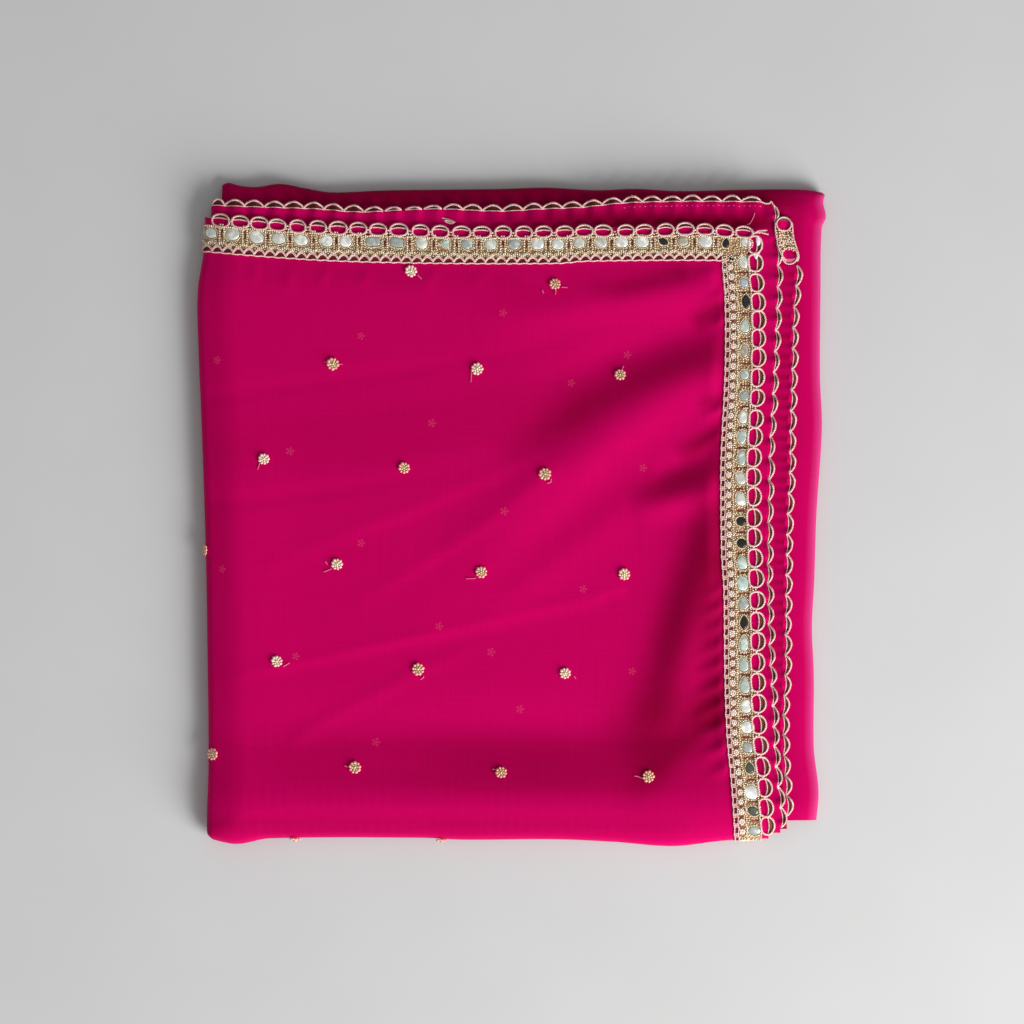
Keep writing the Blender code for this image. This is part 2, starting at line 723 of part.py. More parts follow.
def build_band(name, side, edge, end, finish):
    """A length of mirror braid, with its end wrapped round the fold at the edge."""
    wrapped = wrap_positions(edge, TOP_ROLL, LACE_WRAP_TURN, 4)
    count = round((end - wrapped[-1]) / MIRROR_PITCH)
    stops = spread(wrapped[-1], end, (end - wrapped[-1]) / count)
    cells, inner_stops = split_plain(wrapped), list(wrapped)
    for number, (a, b) in enumerate(zip(stops, stops[1:])):
        bends = number < BENT_TILES
        cells += band_tile(a, b, bends)
        inner_stops += [(a + b) / 2, b] if bends else [b]
    inner = split_plain(inner_stops)
    wall_solid(
        name,
        turn_over(cells, side),
        turn_over(inner, side),
        lambda key: lace_point(side, key[0], key[1], BAND_WALL + key[2], edge),
        lambda key: lace_point(side, key[0], key[1], 0.0, edge),
        finish,
    )


def loop_tile(start, pitch, bends):
    """Cells of one cord loop that stands on the edging's spine, with its opening left out.

    Where the edging bends, the spine under the opening is in several pieces.
    """
    middle, half = start + pitch / 2, pitch / 2
    outer, hole = [], []
    for k in range(LOOP_STEPS + 1):
        angle = math.pi * (1 - k / LOOP_STEPS)
        rise = math.sin(angle) if 0 < k < LOOP_STEPS else 0.0
        tall = LOOP_HEIGHT - LOOP_SPINE
        outer.append((middle + half * math.cos(angle), LOOP_SPINE + tall * rise))
        inner_half, inner_tall = half - LOOP_CORD, tall - LOOP_CORD
        hole.append((middle + inner_half * math.cos(angle), LOOP_SPINE + inner_tall * rise))
    cells = [[outer[k], hole[k], hole[k + 1], outer[k + 1]] for k in range(LOOP_STEPS)]
    stops = spread(hole[0][0], hole[-1][0], (hole[-1][0] - hole[0][0]) / (5 if bends else 1))
    spine = [(outer[0][0], LOOP_SPINE)] + [(u, LOOP_SPINE) for u in stops]
    spine.append((outer[-1][0], LOOP_SPINE))
    cells += [[(a, 0.0), (b, 0.0), (b, v), (a, v)] for (a, v), (b, _) in zip(spine, spine[1:])]
    return [[(round(u, 4), round(v + LOOP_START, 4)) for u, v in cell] for cell in cells]


def build_loops(name, side, edge, end, finish):
    start = edge + TOP_ROLL * (1 - LACE_WRAP_TURN)
    count = round((end - start) / LOOP_PITCH)
    pitch = (end - start) / count
    cells = [cell for k in range(count) for cell in loop_tile(start + k * pitch, pitch, k < 1)]
    cells = turn_over(cells, side)
    wall_solid(
        name,
        cells,
        cells,
        lambda key: loop_point(side, *key, BAND_WALL, edge),
        lambda key: loop_point(side, *key, 0.0, edge),
        finish,
    )


def scallop_solid(name, place, start, end, scallop, finish):
    """A wavy cord along a flat edge: place(along, out, lift) is a point beside the edge."""
    pitch, reach = scallop
    count = round((end - start) / pitch)
    pitch = (end - start) / count
    steps = count * SCALLOP_STEPS
    cells = grid_cells(steps + 1, 2)

    def point(key, lift):
        i, outer = key
        rise = abs(math.sin(math.pi * i / SCALLOP_STEPS)) ** 0.8
        out = SCALLOP_GAP + (reach - SCALLOP_CORD) * rise + SCALLOP_CORD * outer
        return place(start + i * pitch / SCALLOP_STEPS, out, lift)

    wall_solid(
        name, cells, cells, lambda key: point(key, 0.0), lambda key: point(key, -WALL), finish
    )


def build_scallops(finish):
    def second_at_back(along, out, lift):
        return SECOND.lifted(along, second_back(along) + out, lift)

    def second_at_side(along, out, lift):
        return SECOND.lifted(second_right(-along) + out, -along, lift)

    def third_at_side(along, out, lift):
        return THIRD.lifted(third_right(-along) + out, -along, lift)

    scallop_solid(
        "second_scallops_back", second_at_back, SECOND_LEFT_X - 0.6, 121.5, SECOND_BACK_SCALLOP, finish
    )
    front = -SECOND_FRONT_Y - 0.2
    scallop_solid(
        "second_scallops_side", second_at_side, -146.3, front, SECOND_SIDE_SCALLOP, finish
    )
    front = -THIRD_FRONT_Y - 0.2
    scallop_solid("third_scallops_side", third_at_side, -119.5, front, THIRD_SIDE_SCALLOP, finish)


# The third layer's corner of lace, which lies right side up past the second layer:
# distance from its back end, the left side's x, the right side's x
CORNER_BACK_Y = 139.8
CORNER_LACE = (
    (0.0, 128.4, 129.6), (1.3, 128.0, 131.3), (3.6, 128.0, 132.4), (5.8, 128.1, 132.3),
    (7.0, 128.2, 132.0), (9.0, 128.4, 133.4), (11.5, 128.7, 134.2), (13.4, 129.2, 134.3),
    (14.6, 129.6, 134.2), (16.4, 130.4, 135.2), (18.6, 131.6, 135.4), (19.6, 132.8, 134.4),
)


def build_corner_lace(finish):
    """The end of the third layer's border: a short band with one raised mirror."""
    columns, rows = 3, len(CORNER_LACE)
    cells = grid_cells(columns, rows)

    def point(key, lift):
        i, j = key
        down, left, right = CORNER_LACE[j]
        x, y = left + (right - left) * i / (columns - 1), CORNER_BACK_Y - down
        crown = 0.6 if i == 1 and 0 < j < rows - 1 else 0.0
        return Vector((x, y, THIRD_LEVEL + GAP + lift * (1 + crown)))

    wall_solid(
        "third_corner_lace",
        turn_over(cells, True),
        turn_over(cells, True),
        lambda key: point(key, BAND_WALL),
        lambda key: point(key, 0.0),
        finish,
    )


def build_buti(name, x, y, finish):
    """A small sewn flower that lies on the top layer, and bends with it where it meets a fold."""
    bends = x - top_left(y) < TOP_ROLL + BUTI_RADIUS
    shares = (0.33, 0.67, 1.0) if bends else (1.0,)
    count = 2 * BUTI_PETALS
    rims = []
    for share in shares:
        rims.append([])
        for k in range(count):
            angle = 2 * math.pi * k / count
            radius = (BUTI_RADIUS - BUTI_DENT * (k % 2)) * share
            thick = BUTI_EDGE + (BUTI_CROWN - BUTI_EDGE) * (1 - share)
            rims[-1].append((radius * math.cos(angle), radius * math.sin(angle), thick))
    middle = (0.0, 0.0, BUTI_CROWN)
    cells = [[rims[0][k], rims[0][(k + 1) % count], middle] for k in range(count)]
    for small, large in zip(rims, rims[1:]):
        cells += [
            [small[k], large[k], large[(k + 1) % count], small[(k + 1) % count]]
            for k in range(count)
        ]
    wall_solid(
        name,
        cells,
        cells if bends else [rims[0]],
        lambda key: TOP.lifted(x + key[0], y + key[1], BUTI_GAP + key[2]),
        lambda key: TOP.lifted(x + key[0], y + key[1], BUTI_GAP),
        finish,
    )


def main():
    for old in list(bpy.data.objects):
        bpy.data.objects.remove(old)
    cloth = material("magenta georgette", (0.47, 0.0, 0.085), 0.55, 0.0)
    gold = material("champagne zari", (0.62, 0.47, 0.25), 0.42, 0.8)

    build_hidden_layers(cloth)
    build_lower_layers(cloth)
    build_top_layer(cloth)

    left_fold = top_left(132.0)
    front_fold = top_front(110.0)
    build_band("lace_band_back", False, left_fold, BACK_BAND_END_X, gold)
    build_band("lace_band_side", True, front_fold, SIDE_BAND_START_Y, gold)
    build_loops("lace_loops_back", False, left_fold, BACK_LOOPS_END_X, gold)
    build_loops("lace_loops_side", True, front_fold, SIDE_LOOPS_START_Y, gold)
    build_scallops(gold)
    build_corner_lace(gold)
    for number, (x, y) in enumerate(BUTIS, 1):
        build_buti(f"buti_{number:02d}", x, y, gold)


main()
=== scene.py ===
# %% [markdown]
# # A dupatta stole with a mirror-work border, folded flat
#
# A dupatta is a long, sheer stole.  This one is hot-pink georgette.  Gold lace with small mirrors
# is sewn along its edges, and small gold flowers are scattered over the cloth.  It lies folded in
# a flat packet, so the eye meets four stretches of the same cloth, one above the other.
#
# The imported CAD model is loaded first, and everything below is a finer form of one of its pieces,
# in the same place.  The light and the finishes come first, then the cloth, the lace and the
# flowers, and last what each piece stands for.

# %% The frame and the units
import math

import bpy
import numpy as np
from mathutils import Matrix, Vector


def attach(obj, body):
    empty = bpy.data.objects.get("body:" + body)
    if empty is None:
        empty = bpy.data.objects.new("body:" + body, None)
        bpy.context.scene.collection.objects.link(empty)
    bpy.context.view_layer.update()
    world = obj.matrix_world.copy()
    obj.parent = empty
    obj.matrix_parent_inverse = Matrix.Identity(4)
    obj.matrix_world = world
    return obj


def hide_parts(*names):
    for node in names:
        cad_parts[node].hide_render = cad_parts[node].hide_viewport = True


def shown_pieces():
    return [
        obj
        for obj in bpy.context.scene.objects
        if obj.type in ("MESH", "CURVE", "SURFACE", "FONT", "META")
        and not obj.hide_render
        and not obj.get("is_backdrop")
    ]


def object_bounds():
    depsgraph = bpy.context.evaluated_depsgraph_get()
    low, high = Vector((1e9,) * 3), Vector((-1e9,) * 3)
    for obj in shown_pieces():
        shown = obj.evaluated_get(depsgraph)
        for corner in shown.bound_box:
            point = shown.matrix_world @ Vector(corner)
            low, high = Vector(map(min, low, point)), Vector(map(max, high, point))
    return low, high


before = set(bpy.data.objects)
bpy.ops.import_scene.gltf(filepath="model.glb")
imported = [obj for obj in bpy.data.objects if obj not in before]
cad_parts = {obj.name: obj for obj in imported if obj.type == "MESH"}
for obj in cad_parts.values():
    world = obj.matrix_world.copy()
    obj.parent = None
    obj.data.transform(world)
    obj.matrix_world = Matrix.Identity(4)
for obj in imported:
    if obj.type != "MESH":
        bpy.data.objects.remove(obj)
cad_box = [list(corner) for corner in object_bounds()]
MM = 0.001  # the lengths below are in millimetres, and meshes are made in metres
CHANCE = np.random.default_rng(7)  # one seed, so that each run makes the same stole
print("the CAD model has", len(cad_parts), "pieces")

# %% [markdown]
# ## Camera, light and table
#
# A folded stole is looked at from straight above.  A wide lens close by would lean the packet's
# sides outwards, so this is a long lens far away.
#
# A ring of lamps would light the packet evenly, and it would look flat.  So one large soft lamp
# stands low to the right and in front, as a window does, and gives every crease a bright side and
# a dark side.  The even sky fills the shadows.

# %% The camera
FRAME_WIDTH = 481.3  # how wide a strip of the table the lens takes in
EYE_X, EYE_Y, EYE_HEIGHT = 0.2, 1.2, 2400.0
SHARP_LEVEL = 9.0  # the level at which the width is measured

scene = bpy.context.scene
eye = bpy.data.cameras.new("camera")
eye.lens = eye.sensor_width * (EYE_HEIGHT - SHARP_LEVEL) / FRAME_WIDTH
camera = bpy.data.objects.new("camera", eye)
camera.location = (EYE_X * MM, EYE_Y * MM, EYE_HEIGHT * MM)
scene.collection.objects.link(camera)
scene.camera = camera
scene.view_settings.view_transform = "Standard"  # keeps a strong pink as it is
print("lens", round(eye.lens, 1), "mm")

# %% The lamp and the sky
WINDOW_PLACE = (1.38, -1.29, 0.89)  # in metres, as its size is
WINDOW_SIZE, WINDOW_POWER = 1.30, 66.0
SKY_COLOUR, SKY_STRENGTH = (0.98, 0.99, 1.0, 1.0), 0.31

lamp = bpy.data.lights.new("window", "AREA")
lamp.size, lamp.energy = WINDOW_SIZE, WINDOW_POWER
window = bpy.data.objects.new("window", lamp)
window.location = WINDOW_PLACE
towards_packet = -window.location.normalized()
window.rotation_euler = towards_packet.to_track_quat("-Z", "Y").to_euler()
scene.collection.objects.link(window)

sky = bpy.data.worlds.new("sky")
sky.use_nodes = True
background = sky.node_tree.nodes["Background"].inputs
background["Color"].default_value, background["Strength"].default_value = SKY_COLOUR, SKY_STRENGTH
scene.world = sky
print("the window lamp gives", WINDOW_POWER, "W, and the sky", SKY_STRENGTH)

# %% [markdown]
# ## Sums on wires
#
# A finish is a small net of nodes.  A list of nodes and links is hard to read back, and a sum is
# easy to read.  So one small class stands for what flows out of a node, and adding or multiplying
# such wires adds the Math nodes for them.  A second class adds any other node in one call.  Both
# also serve the Geometry Nodes further down.


# %% Wires
class Wire:
    """What flows out of a node.  Sums and products of wires add the Math nodes for them."""

    def __init__(self, tree, socket):
        self.tree, self.socket = tree, socket

    def math(self, operation, *terms):
        return self.tree.add("ShaderNodeMath", dict(enumerate(terms)), operation=operation)

    def vector(self, operation, *terms):
        return self.tree.add("ShaderNodeVectorMath", dict(enumerate(terms)), operation=operation)

    def scaled(self, factor):
        sockets = {0: self, "Scale": factor}
        return self.tree.add("ShaderNodeVectorMath", sockets, operation="SCALE")

    def __add__(self, other):
        return self.math("ADD", self, other)

    def __sub__(self, other):
        return self.math("SUBTRACT", self, other)

    def __rsub__(self, other):
        return self.math("SUBTRACT", other, self)

    def __mul__(self, other):
        return self.math("MULTIPLY", self, other)

    def __truediv__(self, other):
        return self.math("DIVIDE", self, other)

    __radd__, __rmul__ = __add__, __mul__


# %% Trees
class Tree:
    """A node tree, and one method that adds any node to it."""

    def __init__(self, node_tree):
        self.node_tree = node_tree

    def add(self, kind, sockets=None, output=None, **settings):
        """Adds a node: its settings first, then the values or the wires of its sockets."""
        node = self.node_tree.nodes.new(kind)
        for name, value in settings.items():
            setattr(node, name, value)
        for key, value in (sockets or {}).items():
            self.feed(self.socket_of(node.inputs, key), value)
        return Wire(self, self.socket_of(node.outputs, output))

    @staticmethod
    def socket_of(sockets, key):
        """A live socket by its name or its number, or the first one."""
        live = [socket for socket in sockets if socket.enabled]
        if key is None:
            return live[0]
        if isinstance(key, int):
            return live[key]
        return next(socket for socket in live if socket.name == key)

    def feed(self, socket, value):
        """Gives a socket a wire, several wires, a colour or a number."""
        if isinstance(value, list):
            for wire in value:
                self.feed(socket, wire)
        elif isinstance(value, Wire):
            self.node_tree.links.new(value.socket, socket)
        elif hasattr(value, "__len__") and len(value) == 3 and socket.type == "RGBA":
            socket.default_value = (*value, 1)
        else:
            socket.default_value = value


# %% [markdown]
# ## Finishes: georgette
#
# Georgette is a matt, fine crepe.  Its colour stays pure where the light strikes it, so it has
# almost no white gloss, only a thin magenta sheen.  A picture of cloth could be laid over it, but
# it would blur close by and repeat from afar.  Noise and waves are worked out at each point, in
# millimetres of the real cloth, so they do neither.  The weave is finer than half a millimetre, so
# it is a bump, and threads that differ a little in colour make fine streaks both ways.
#
# What depends on the place comes from attributes.  Where only one layer lies over the pale table,
# more light comes through: `sheer` says where.  `depth` paints shade into the colour, on the dark
# sides of folds, in hollows and where the lace above shades it, and below 0 it paints light.  The
# top layer also lets a tenth of what lies under it show, where its `veil` is 1.


# %% A paint is a material's tree
class Paint(Tree):
    """A material.  Values that are the same all over go straight on its shader's sockets."""

    def __init__(self, name, **constants):
        self.material = bpy.data.materials.new(name)
        self.material.use_nodes = True
        super().__init__(self.material.node_tree)
        self.shader = self.node_tree.nodes["Principled BSDF"]
        for key, value in constants.items():
            self.feed(self.shader.inputs[key.replace("_", " ")], value)

    def place(self, scale=(1.0, 1.0, 1.0)):
        """Where a point is, in millimetres, stretched by a scale."""
        there = self.add("ShaderNodeTexCoord", output="Object")
        return there.vector("MULTIPLY", there, tuple(value / MM for value in scale))

    def attribute(self, name, output="Fac"):
        """What a piece was marked with."""
        return self.add("ShaderNodeAttribute", None, output, attribute_name=name)

    def noise(self, size, detail=2.0, stretch=(1.0, 1.0, 1.0)):
        """Soft noise whose blobs are about that many millimetres across."""
        sockets = {"Vector": self.place(stretch), "Scale": 1 / size, "Detail": detail}
        return self.add("ShaderNodeTexNoise", sockets, "Fac")

    def mix(self, share, first, second):
        """From the first colour to the second, as the share goes from 0 to 1."""
        sockets = {"Factor": share, "A": first, "B": second}
        return self.add("ShaderNodeMix", sockets, data_type="RGBA")

    def bump(self, height, strength, distance):
        """Relief that only the light sees, its distance in millimetres."""
        sockets = {"Height": height, "Strength": strength, "Distance": distance * MM}
        self.feed(self.shader.inputs["Normal"], self.add("ShaderNodeBump", sockets))

    def set(self, **wires):
        """Feeds what changes over the surface to the shader, and hands over the material."""
        for key, wire in wires.items():
            self.feed(self.shader.inputs[key.replace("_", " ")], wire)
        return self.material


# %% The cloth's finish
THREAD = 0.45  # between the threads of the weave
WAVE = 0.314  # between the bands of a wave texture whose scale is 1
STREAK = (0.03, 1.6)  # noise that is drawn out along a thread, and squeezed across it
# the second strength: how much painted light brightens the cloth where depth is below 0
STREAK_STRENGTH, PAINTED_LIGHT_STRENGTH = 0.14, 0.55


def georgette(name, colour, light_through, deep, alpha=1.0):
    """The cloth's finish: its colour, its colour over the table, and painted shade and light by depth.
    """
    paint = Paint(
        name, Roughness=0.62, Specular_IOR_Level=0.12, Specular_Tint=(1.0, 0.02, 0.35),
        Sheen_Weight=0.10, Sheen_Roughness=0.45, Sheen_Tint=(1.0, 0.02, 0.30),
    )
    streaks = paint.noise(1.0, 1.0, (*STREAK, 1.0)) + paint.noise(1.0, 1.0, (*STREAK[::-1], 1.0))
    tone = (streaks - 1.0) * STREAK_STRENGTH + 1.0
    # depth above 0 paints shade towards the deep colour, and below 0 it paints light
    depth = paint.attribute("depth")
    shade_painted = paint.mix(depth, colour, deep)
    plain = paint.mix(paint.attribute("sheer"), shade_painted, light_through)
    painted_light = depth.math("MINIMUM", depth, 0.0)
    shaded = plain.scaled(tone * (painted_light * -PAINTED_LIGHT_STRENGTH + 1.0))
    sockets = {"Vector": paint.place(), "Scale": WAVE / THREAD, "Distortion": 1.2}
    across = paint.add("ShaderNodeTexWave", sockets, "Fac", bands_direction="X")
    along = paint.add("ShaderNodeTexWave", sockets, "Fac", bands_direction="Y")
    crepe = paint.noise(0.5, 3.0)
    paint.bump(across * 0.5 + along * 0.5 + crepe, 0.3, 0.05)
    if alpha < 1:
        paint.set(Alpha=1.0 - paint.attribute("veil") * (1.0 - alpha))
    return paint.set(Base_Color=shaded)


PINK = (0.64, 0.0006, 0.116)
# the colour that painted shade goes towards
PINK_PAINTED_SHADE = (0.25, 0.0003, 0.026)
PINK_OVER_TABLE = (0.60, 0.055, 0.235)
top_finish = georgette("georgette_top", PINK, PINK_OVER_TABLE, PINK_PAINTED_SHADE, alpha=0.90)
cloth_finish = georgette("georgette", PINK, PINK_OVER_TABLE, PINK_PAINTED_SHADE)
print("made", top_finish.name, "and", cloth_finish.name)

# %% [markdown]
# ## Finishes: zari, net and glass
#
# Zari is thin metal foil wound round a thread.  It glitters, because each turn points another
# way.  One smooth gold would look like cast metal, so the colour and the roughness change from
# one half millimetre to the next: the pale turns are painted glints.  An attribute called `shine`
# paints a highlight on what catches the light, and shade on what turns away from it.
#
# The net under the beads is dull brown thread.  Where no beads lie it is maroon, which is painted
# shade of the cloth under the lace.  The mirrors are silvered glass, small and cloudy.  A perfect
# mirror would show the empty room round this scene, and look dead.  So each glass has a painted
# reflection: a tone of its own, light or dark as what it would face, with clouds and a painted
# glint in it, and only some gloss lies over that.

# %% Zari thread and beads
GLITTER_MIDDLE, GLITTER_CONTRAST = 0.36, 3.2  # where pale turns begin, and how sharply
# the colour of the painted highlight
ZARI_PAINTED_HIGHLIGHT = (1.0, 0.93, 0.82)  # towards which a shining piece goes


def held(wire):
    """A wire's value, kept from 0 to 1."""
    return wire.math("MINIMUM", wire.math("MAXIMUM", wire, 0.0), 1.0)


def zari(name, pale, deep, metallic, roughness, size):
    """Metal thread: painted glints of about the given size, and painted light and shade by `shine`."""
    paint = Paint(name, Metallic=metallic, Specular_IOR_Level=0.5)
    glitter = paint.noise(size, 2.0)
    shine = paint.attribute("shine")
    share = held((glitter - GLITTER_MIDDLE) * GLITTER_CONTRAST + shine * 0.5)
    # shine above 0 paints a highlight, and below 0 it paints shade towards the deep colour
    lit = shine.math("MAXIMUM", shine, 0.0) * 0.4
    paint.bump(paint.noise(size * 0.35, 2.0), 0.5, 0.12)
    thread = paint.mix(lit, paint.mix(share, deep, pale), ZARI_PAINTED_HIGHLIGHT)
    return paint.set(Base_Color=thread, Roughness=roughness + glitter * 0.25)


cord_finish = zari("zari_cord", (1.0, 0.80, 0.77), (0.86, 0.47, 0.40), 0.10, 0.20, 0.8)
bead_finish = zari("zari_beads", (1.0, 0.95, 0.78), (0.72, 0.50, 0.27), 0.18, 0.14, 1.1)
heart_finish = zari("zari_hearts", (1.0, 0.86, 0.52), (0.60, 0.41, 0.18), 0.12, 0.16, 0.9)
pearl_finish = zari("zari_rosettes", (1.0, 0.91, 0.84), (0.88, 0.64, 0.52), 0.12, 0.18, 1.0)
flower_finish = zari("zari_flowers", (1.0, 0.68, 0.56), (0.86, 0.31, 0.22), 0.08, 0.2, 0.7)
print("made", len(bpy.data.materials), "materials so far")


# %% The net, and the glass
def net_paint(name, dark, light):
    """The net: brown among the beads, and elsewhere a dark maroon, which is painted shade of the
    cloth.
    """
    paint = Paint(name, Metallic=0.10, Roughness=0.6, Specular_IOR_Level=0.15)
    grain = paint.noise(0.8, 2.0)
    brown = paint.mix(grain, (0.22, 0.09, 0.035), (0.85, 0.55, 0.28))
    # the maroon is painted shade of the cloth seen under the lace, where no beads lie
    maroon = paint.mix(grain, dark, light)
    paint.bump(grain, 0.6, 0.2)
    return paint.set(Base_Color=paint.mix(paint.attribute("beaded"), maroon, brown))


def glass_paint():
    """Small mirrors: clouded silvered glass, each tone a painted reflection, with a painted glint."""
    paint = Paint("mirror_glass", Metallic=0.25, Specular_IOR_Level=0.6, Coat_Weight=0.4)
    cloud = paint.noise(1.6, 3.0)
    tone = paint.attribute("tone", "Color")
    # painted glint: bright patches in the glass that stand in for highlights
    painted_glint = held((paint.noise(2.4, 1.0) - 0.50) * 7.0)
    cloudy = tone.scaled(cloud * 0.6 + painted_glint * 0.45 + 0.62)
    return paint.set(Base_Color=cloudy, Roughness=cloud * 0.2 + 0.12)


net_and_shade_finish = net_paint("zari_net", (0.09, 0.003, 0.014), (0.30, 0.03, 0.055))
# the darker one fills loops and scallops: painted shade of the layer below
shade_gap_finish = net_paint("zari_gaps", (0.03, 0.003, 0.005), (0.22, 0.035, 0.03))
glass_finish = glass_paint()
print("made", net_and_shade_finish.name, shade_gap_finish.name, "and", glass_finish.name)


# %% Pink thread, and the table
def two_tones(name, size, detail, first, second, **constants):
    """A plain finish that drifts between two colours."""
    paint = Paint(name, **constants)
    return paint.set(Base_Color=paint.mix(paint.noise(size, detail), first, second))


thread_finish = two_tones(
    "pink_thread", 1.5, 2.0, (0.80, 0.06, 0.24), (0.95, 0.30, 0.48), Roughness=0.5, Sheen_Weight=0.2
)
table_finish = two_tones(
    "pale_table", 60.0, 3.0, (0.66, 0.655, 0.65), (0.70, 0.70, 0.70),
    Roughness=0.85, Specular_IOR_Level=0.2,
)
print("made", len(bpy.data.materials), "materials")

# %% [markdown]
# ## Plain meshes, and the table
#
# A simulation could let the cloth fall into folds.  But a packet that was folded and pressed flat
# keeps its folds where the hand left them.  So each piece is worked out as a grid of points, and
# made in one go.  The table is one large square.

# %% Making a mesh, and the table
TABLE_SIZE = 6.0  # in metres


def mesh_piece(name, points, faces, finish, edges=()):
    """An object from points in millimetres.  It sits at the origin, with its place in its mesh."""
    mesh = bpy.data.meshes.new(name)
    mesh.from_pydata(np.asarray(points, float) * MM, list(edges), faces)
    mesh.materials.append(finish)
    mesh.shade_smooth()
    piece = bpy.data.objects.new(name, mesh)
    scene.collection.objects.link(piece)
    return piece


def mark(piece, name, values, kind="FLOAT"):
    """Keeps a value, a colour or a direction for each point of a piece, for its finish to read."""
    layer = piece.data.attributes.new(name, kind, "POINT")
    field = {"FLOAT": "value", "FLOAT_COLOR": "color", "FLOAT_VECTOR": "vector"}[kind]
    layer.data.foreach_set(field, np.asarray(values, np.float32).ravel())


half = TABLE_SIZE / 2 / MM
corners = [(-half, -half, 0), (half, -half, 0), (half, half, 0), (-half, half, 0)]
table = mesh_piece("table_top", corners, [(0, 1, 2, 3)], table_finish)
table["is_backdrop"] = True
print("the table is", TABLE_SIZE, "m wide")

# %% [markdown]
# ## Where the cloth lies
#
# The edges of folded cloth wander by a few millimetres.  They could be drawn as curve objects, but
# the grids below have to ask where an edge lies at any place.  So an edge is a table of points and
# a smooth curve through them.  The tables are the CAD model's own, and so are the heights: the
# level of a layer, less how far it sinks towards a fold, plus the soft folds and gathers.


# %% A smooth curve through a few points
def curve_through(rows):
    """A smooth curve through (position, value) rows, as a function of the position."""
    places, values = np.array(sorted(rows), float).T
    last = len(places) - 1
    low, high = np.maximum(np.arange(last + 1) - 1, 0), np.minimum(np.arange(last + 1) + 1, last)
    slopes = (values[high] - values[low]) / (places[high] - places[low])

    def value(position):
        position = np.clip(position, places[0], places[last])
        k = np.clip(np.searchsorted(places, position, side="right") - 1, 0, last - 1)
        step = places[k + 1] - places[k]
        t = (position - places[k]) / step
        ends = values[k] * (1 + 2 * t) * (1 - t) ** 2 + values[k + 1] * t * t * (3 - 2 * t)
        return ends + step * t * (1 - t) * (slopes[k] * (1 - t) - slopes[k + 1] * t)

    return value


print("half way to (1, 4):", float(curve_through([(0, 0), (1, 4)])(0.5)))

# %% Edges of the top layer, and inner edges of its lace
# left edge and side lace: (y, x)
TOP_LEFT = (
    (141, -144.3), (124, -145.0), (107, -147.6), (92, -147.9), (35, -145.7), (-22, -143.9),
    (-66, -143.2), (-116, -142.7), (-146, -143.5), (-153, -143.2),
)
SIDE_LACE_INNER = (
    (118, 98.8), (98, 100.1), (69, 100.1), (33, 98.4), (15, 98.0), (-18, 98.4), (-35, 99.4),
    (-76, 99.9), (-105, 101.0), (-128, 103.2), (-153, 104.9),
)
# back lace and front edge: (x, y)
TOP_LACE_INNER = (
    (-150, 124.2), (-122, 121.5), (-84, 119.1), (-34, 117.9), (22, 117.9), (35, 118.9),
    (92, 119.3), (115, 118.3),
)
TOP_FRONT = (
    (-143, -152.5), (-129.5, -155.1), (-114, -152.5), (-43, -152.2), (-23, -153.1), (20, -152.9),
    (48, -154.1), (76, -156.1), (100, -153.5), (122, -152.4),
)
top_left, top_front = curve_through(TOP_LEFT), curve_through(TOP_FRONT)
side_inner, back_inner = curve_through(SIDE_LACE_INNER), curve_through(TOP_LACE_INNER)
print("inside the lace the top layer is", round(float(side_inner(0) - top_left(0))), "mm wide")

# %% Edges of the layers below it
# right edges: (y, x)
SECOND_RIGHT = (
    (147, 122.4), (118, 124.4), (98, 123.9), (57, 122.1), (36, 120.8), (6, 119.9), (-33, 119.6),
    (-62, 120.4), (-90, 121.9), (-117, 123.2), (-136, 125.4), (-150, 126.5),
)
THIRD_RIGHT = (
    (145, 131.5), (117, 133.5), (97, 132.0), (60, 130.9), (39, 130.2), (19, 130.0), (-1, 129.0),
    (-40, 128.2), (-77, 127.8), (-95, 126.9), (-114, 127.3), (-132, 128.4), (-149, 129.6),
)
OUTER_RIGHT = (
    (151, 147.8), (147, 146.8), (140, 148.1), (135, 146.1), (101, 145.5), (65, 145.3), (44, 146.2),
    (30, 145.7), (0, 143.6), (-31, 142.6), (-53, 141.5), (-76, 142.4), (-110, 142.4),
    (-130, 144.6), (-143, 143.7),
)
# back edges: (x, y)
SECOND_BACK = (
    (-141, 145.0), (-126, 144.3), (-91, 143.1), (-72, 141.7), (-50, 142.8), (-34, 143.2),
    (-5, 142.1), (15, 143.2), (33, 143.9), (52, 145.9), (79, 146.7), (122, 146.5),
)
OUTER_BACK = (
    (-136, 155.3), (-133.7, 156.4), (-128, 154.9), (-120, 154.3), (-109, 155.8), (-97, 153.7),
    (-85, 151.8), (-60, 152.7), (-5, 153.4), (16, 154.0), (40, 152.8), (58, 153.4), (79, 152.4),
    (113, 153.1), (138, 153.0), (148, 151.4),
)
second_right, second_back = curve_through(SECOND_RIGHT), curve_through(SECOND_BACK)
third_right = curve_through(THIRD_RIGHT)
outer_right, outer_back = curve_through(OUTER_RIGHT), curve_through(OUTER_BACK)
print("the packet is", round(float(outer_right(0) - top_left(0))), "mm wide half way down")

# %% Levels, slopes and rolls
TOP_LEVEL, SECOND_LEVEL, THIRD_LEVEL, OUTER_LEVEL = 12.1, 10.8, 9.5, 8.2
LEFT_SLOPE, LEFT_SINK, FRONT_SLOPE, FRONT_SINK = 19.0, 4.2, 17.0, 4.2
SINK_GROWTH = 0.05
RIM_SLOPE, RIM_SINK = 12.0, 2.7
HEM = 15.8  # the top layer's hem lies this far out from the lace's inner edge
TOP_ROLL, OUTER_ROLL, SMALL_ROLL = 3.0, 1.8, 1.5
FOLD_TURN, HALF_TURN, OUTER_TURN = np.radians((150, 90, 130))


def fade(distance, width):
    """1 at distance 0, falling smoothly to 0 at the width."""
    return (1 - np.clip(distance, 0, width) / width) ** 2


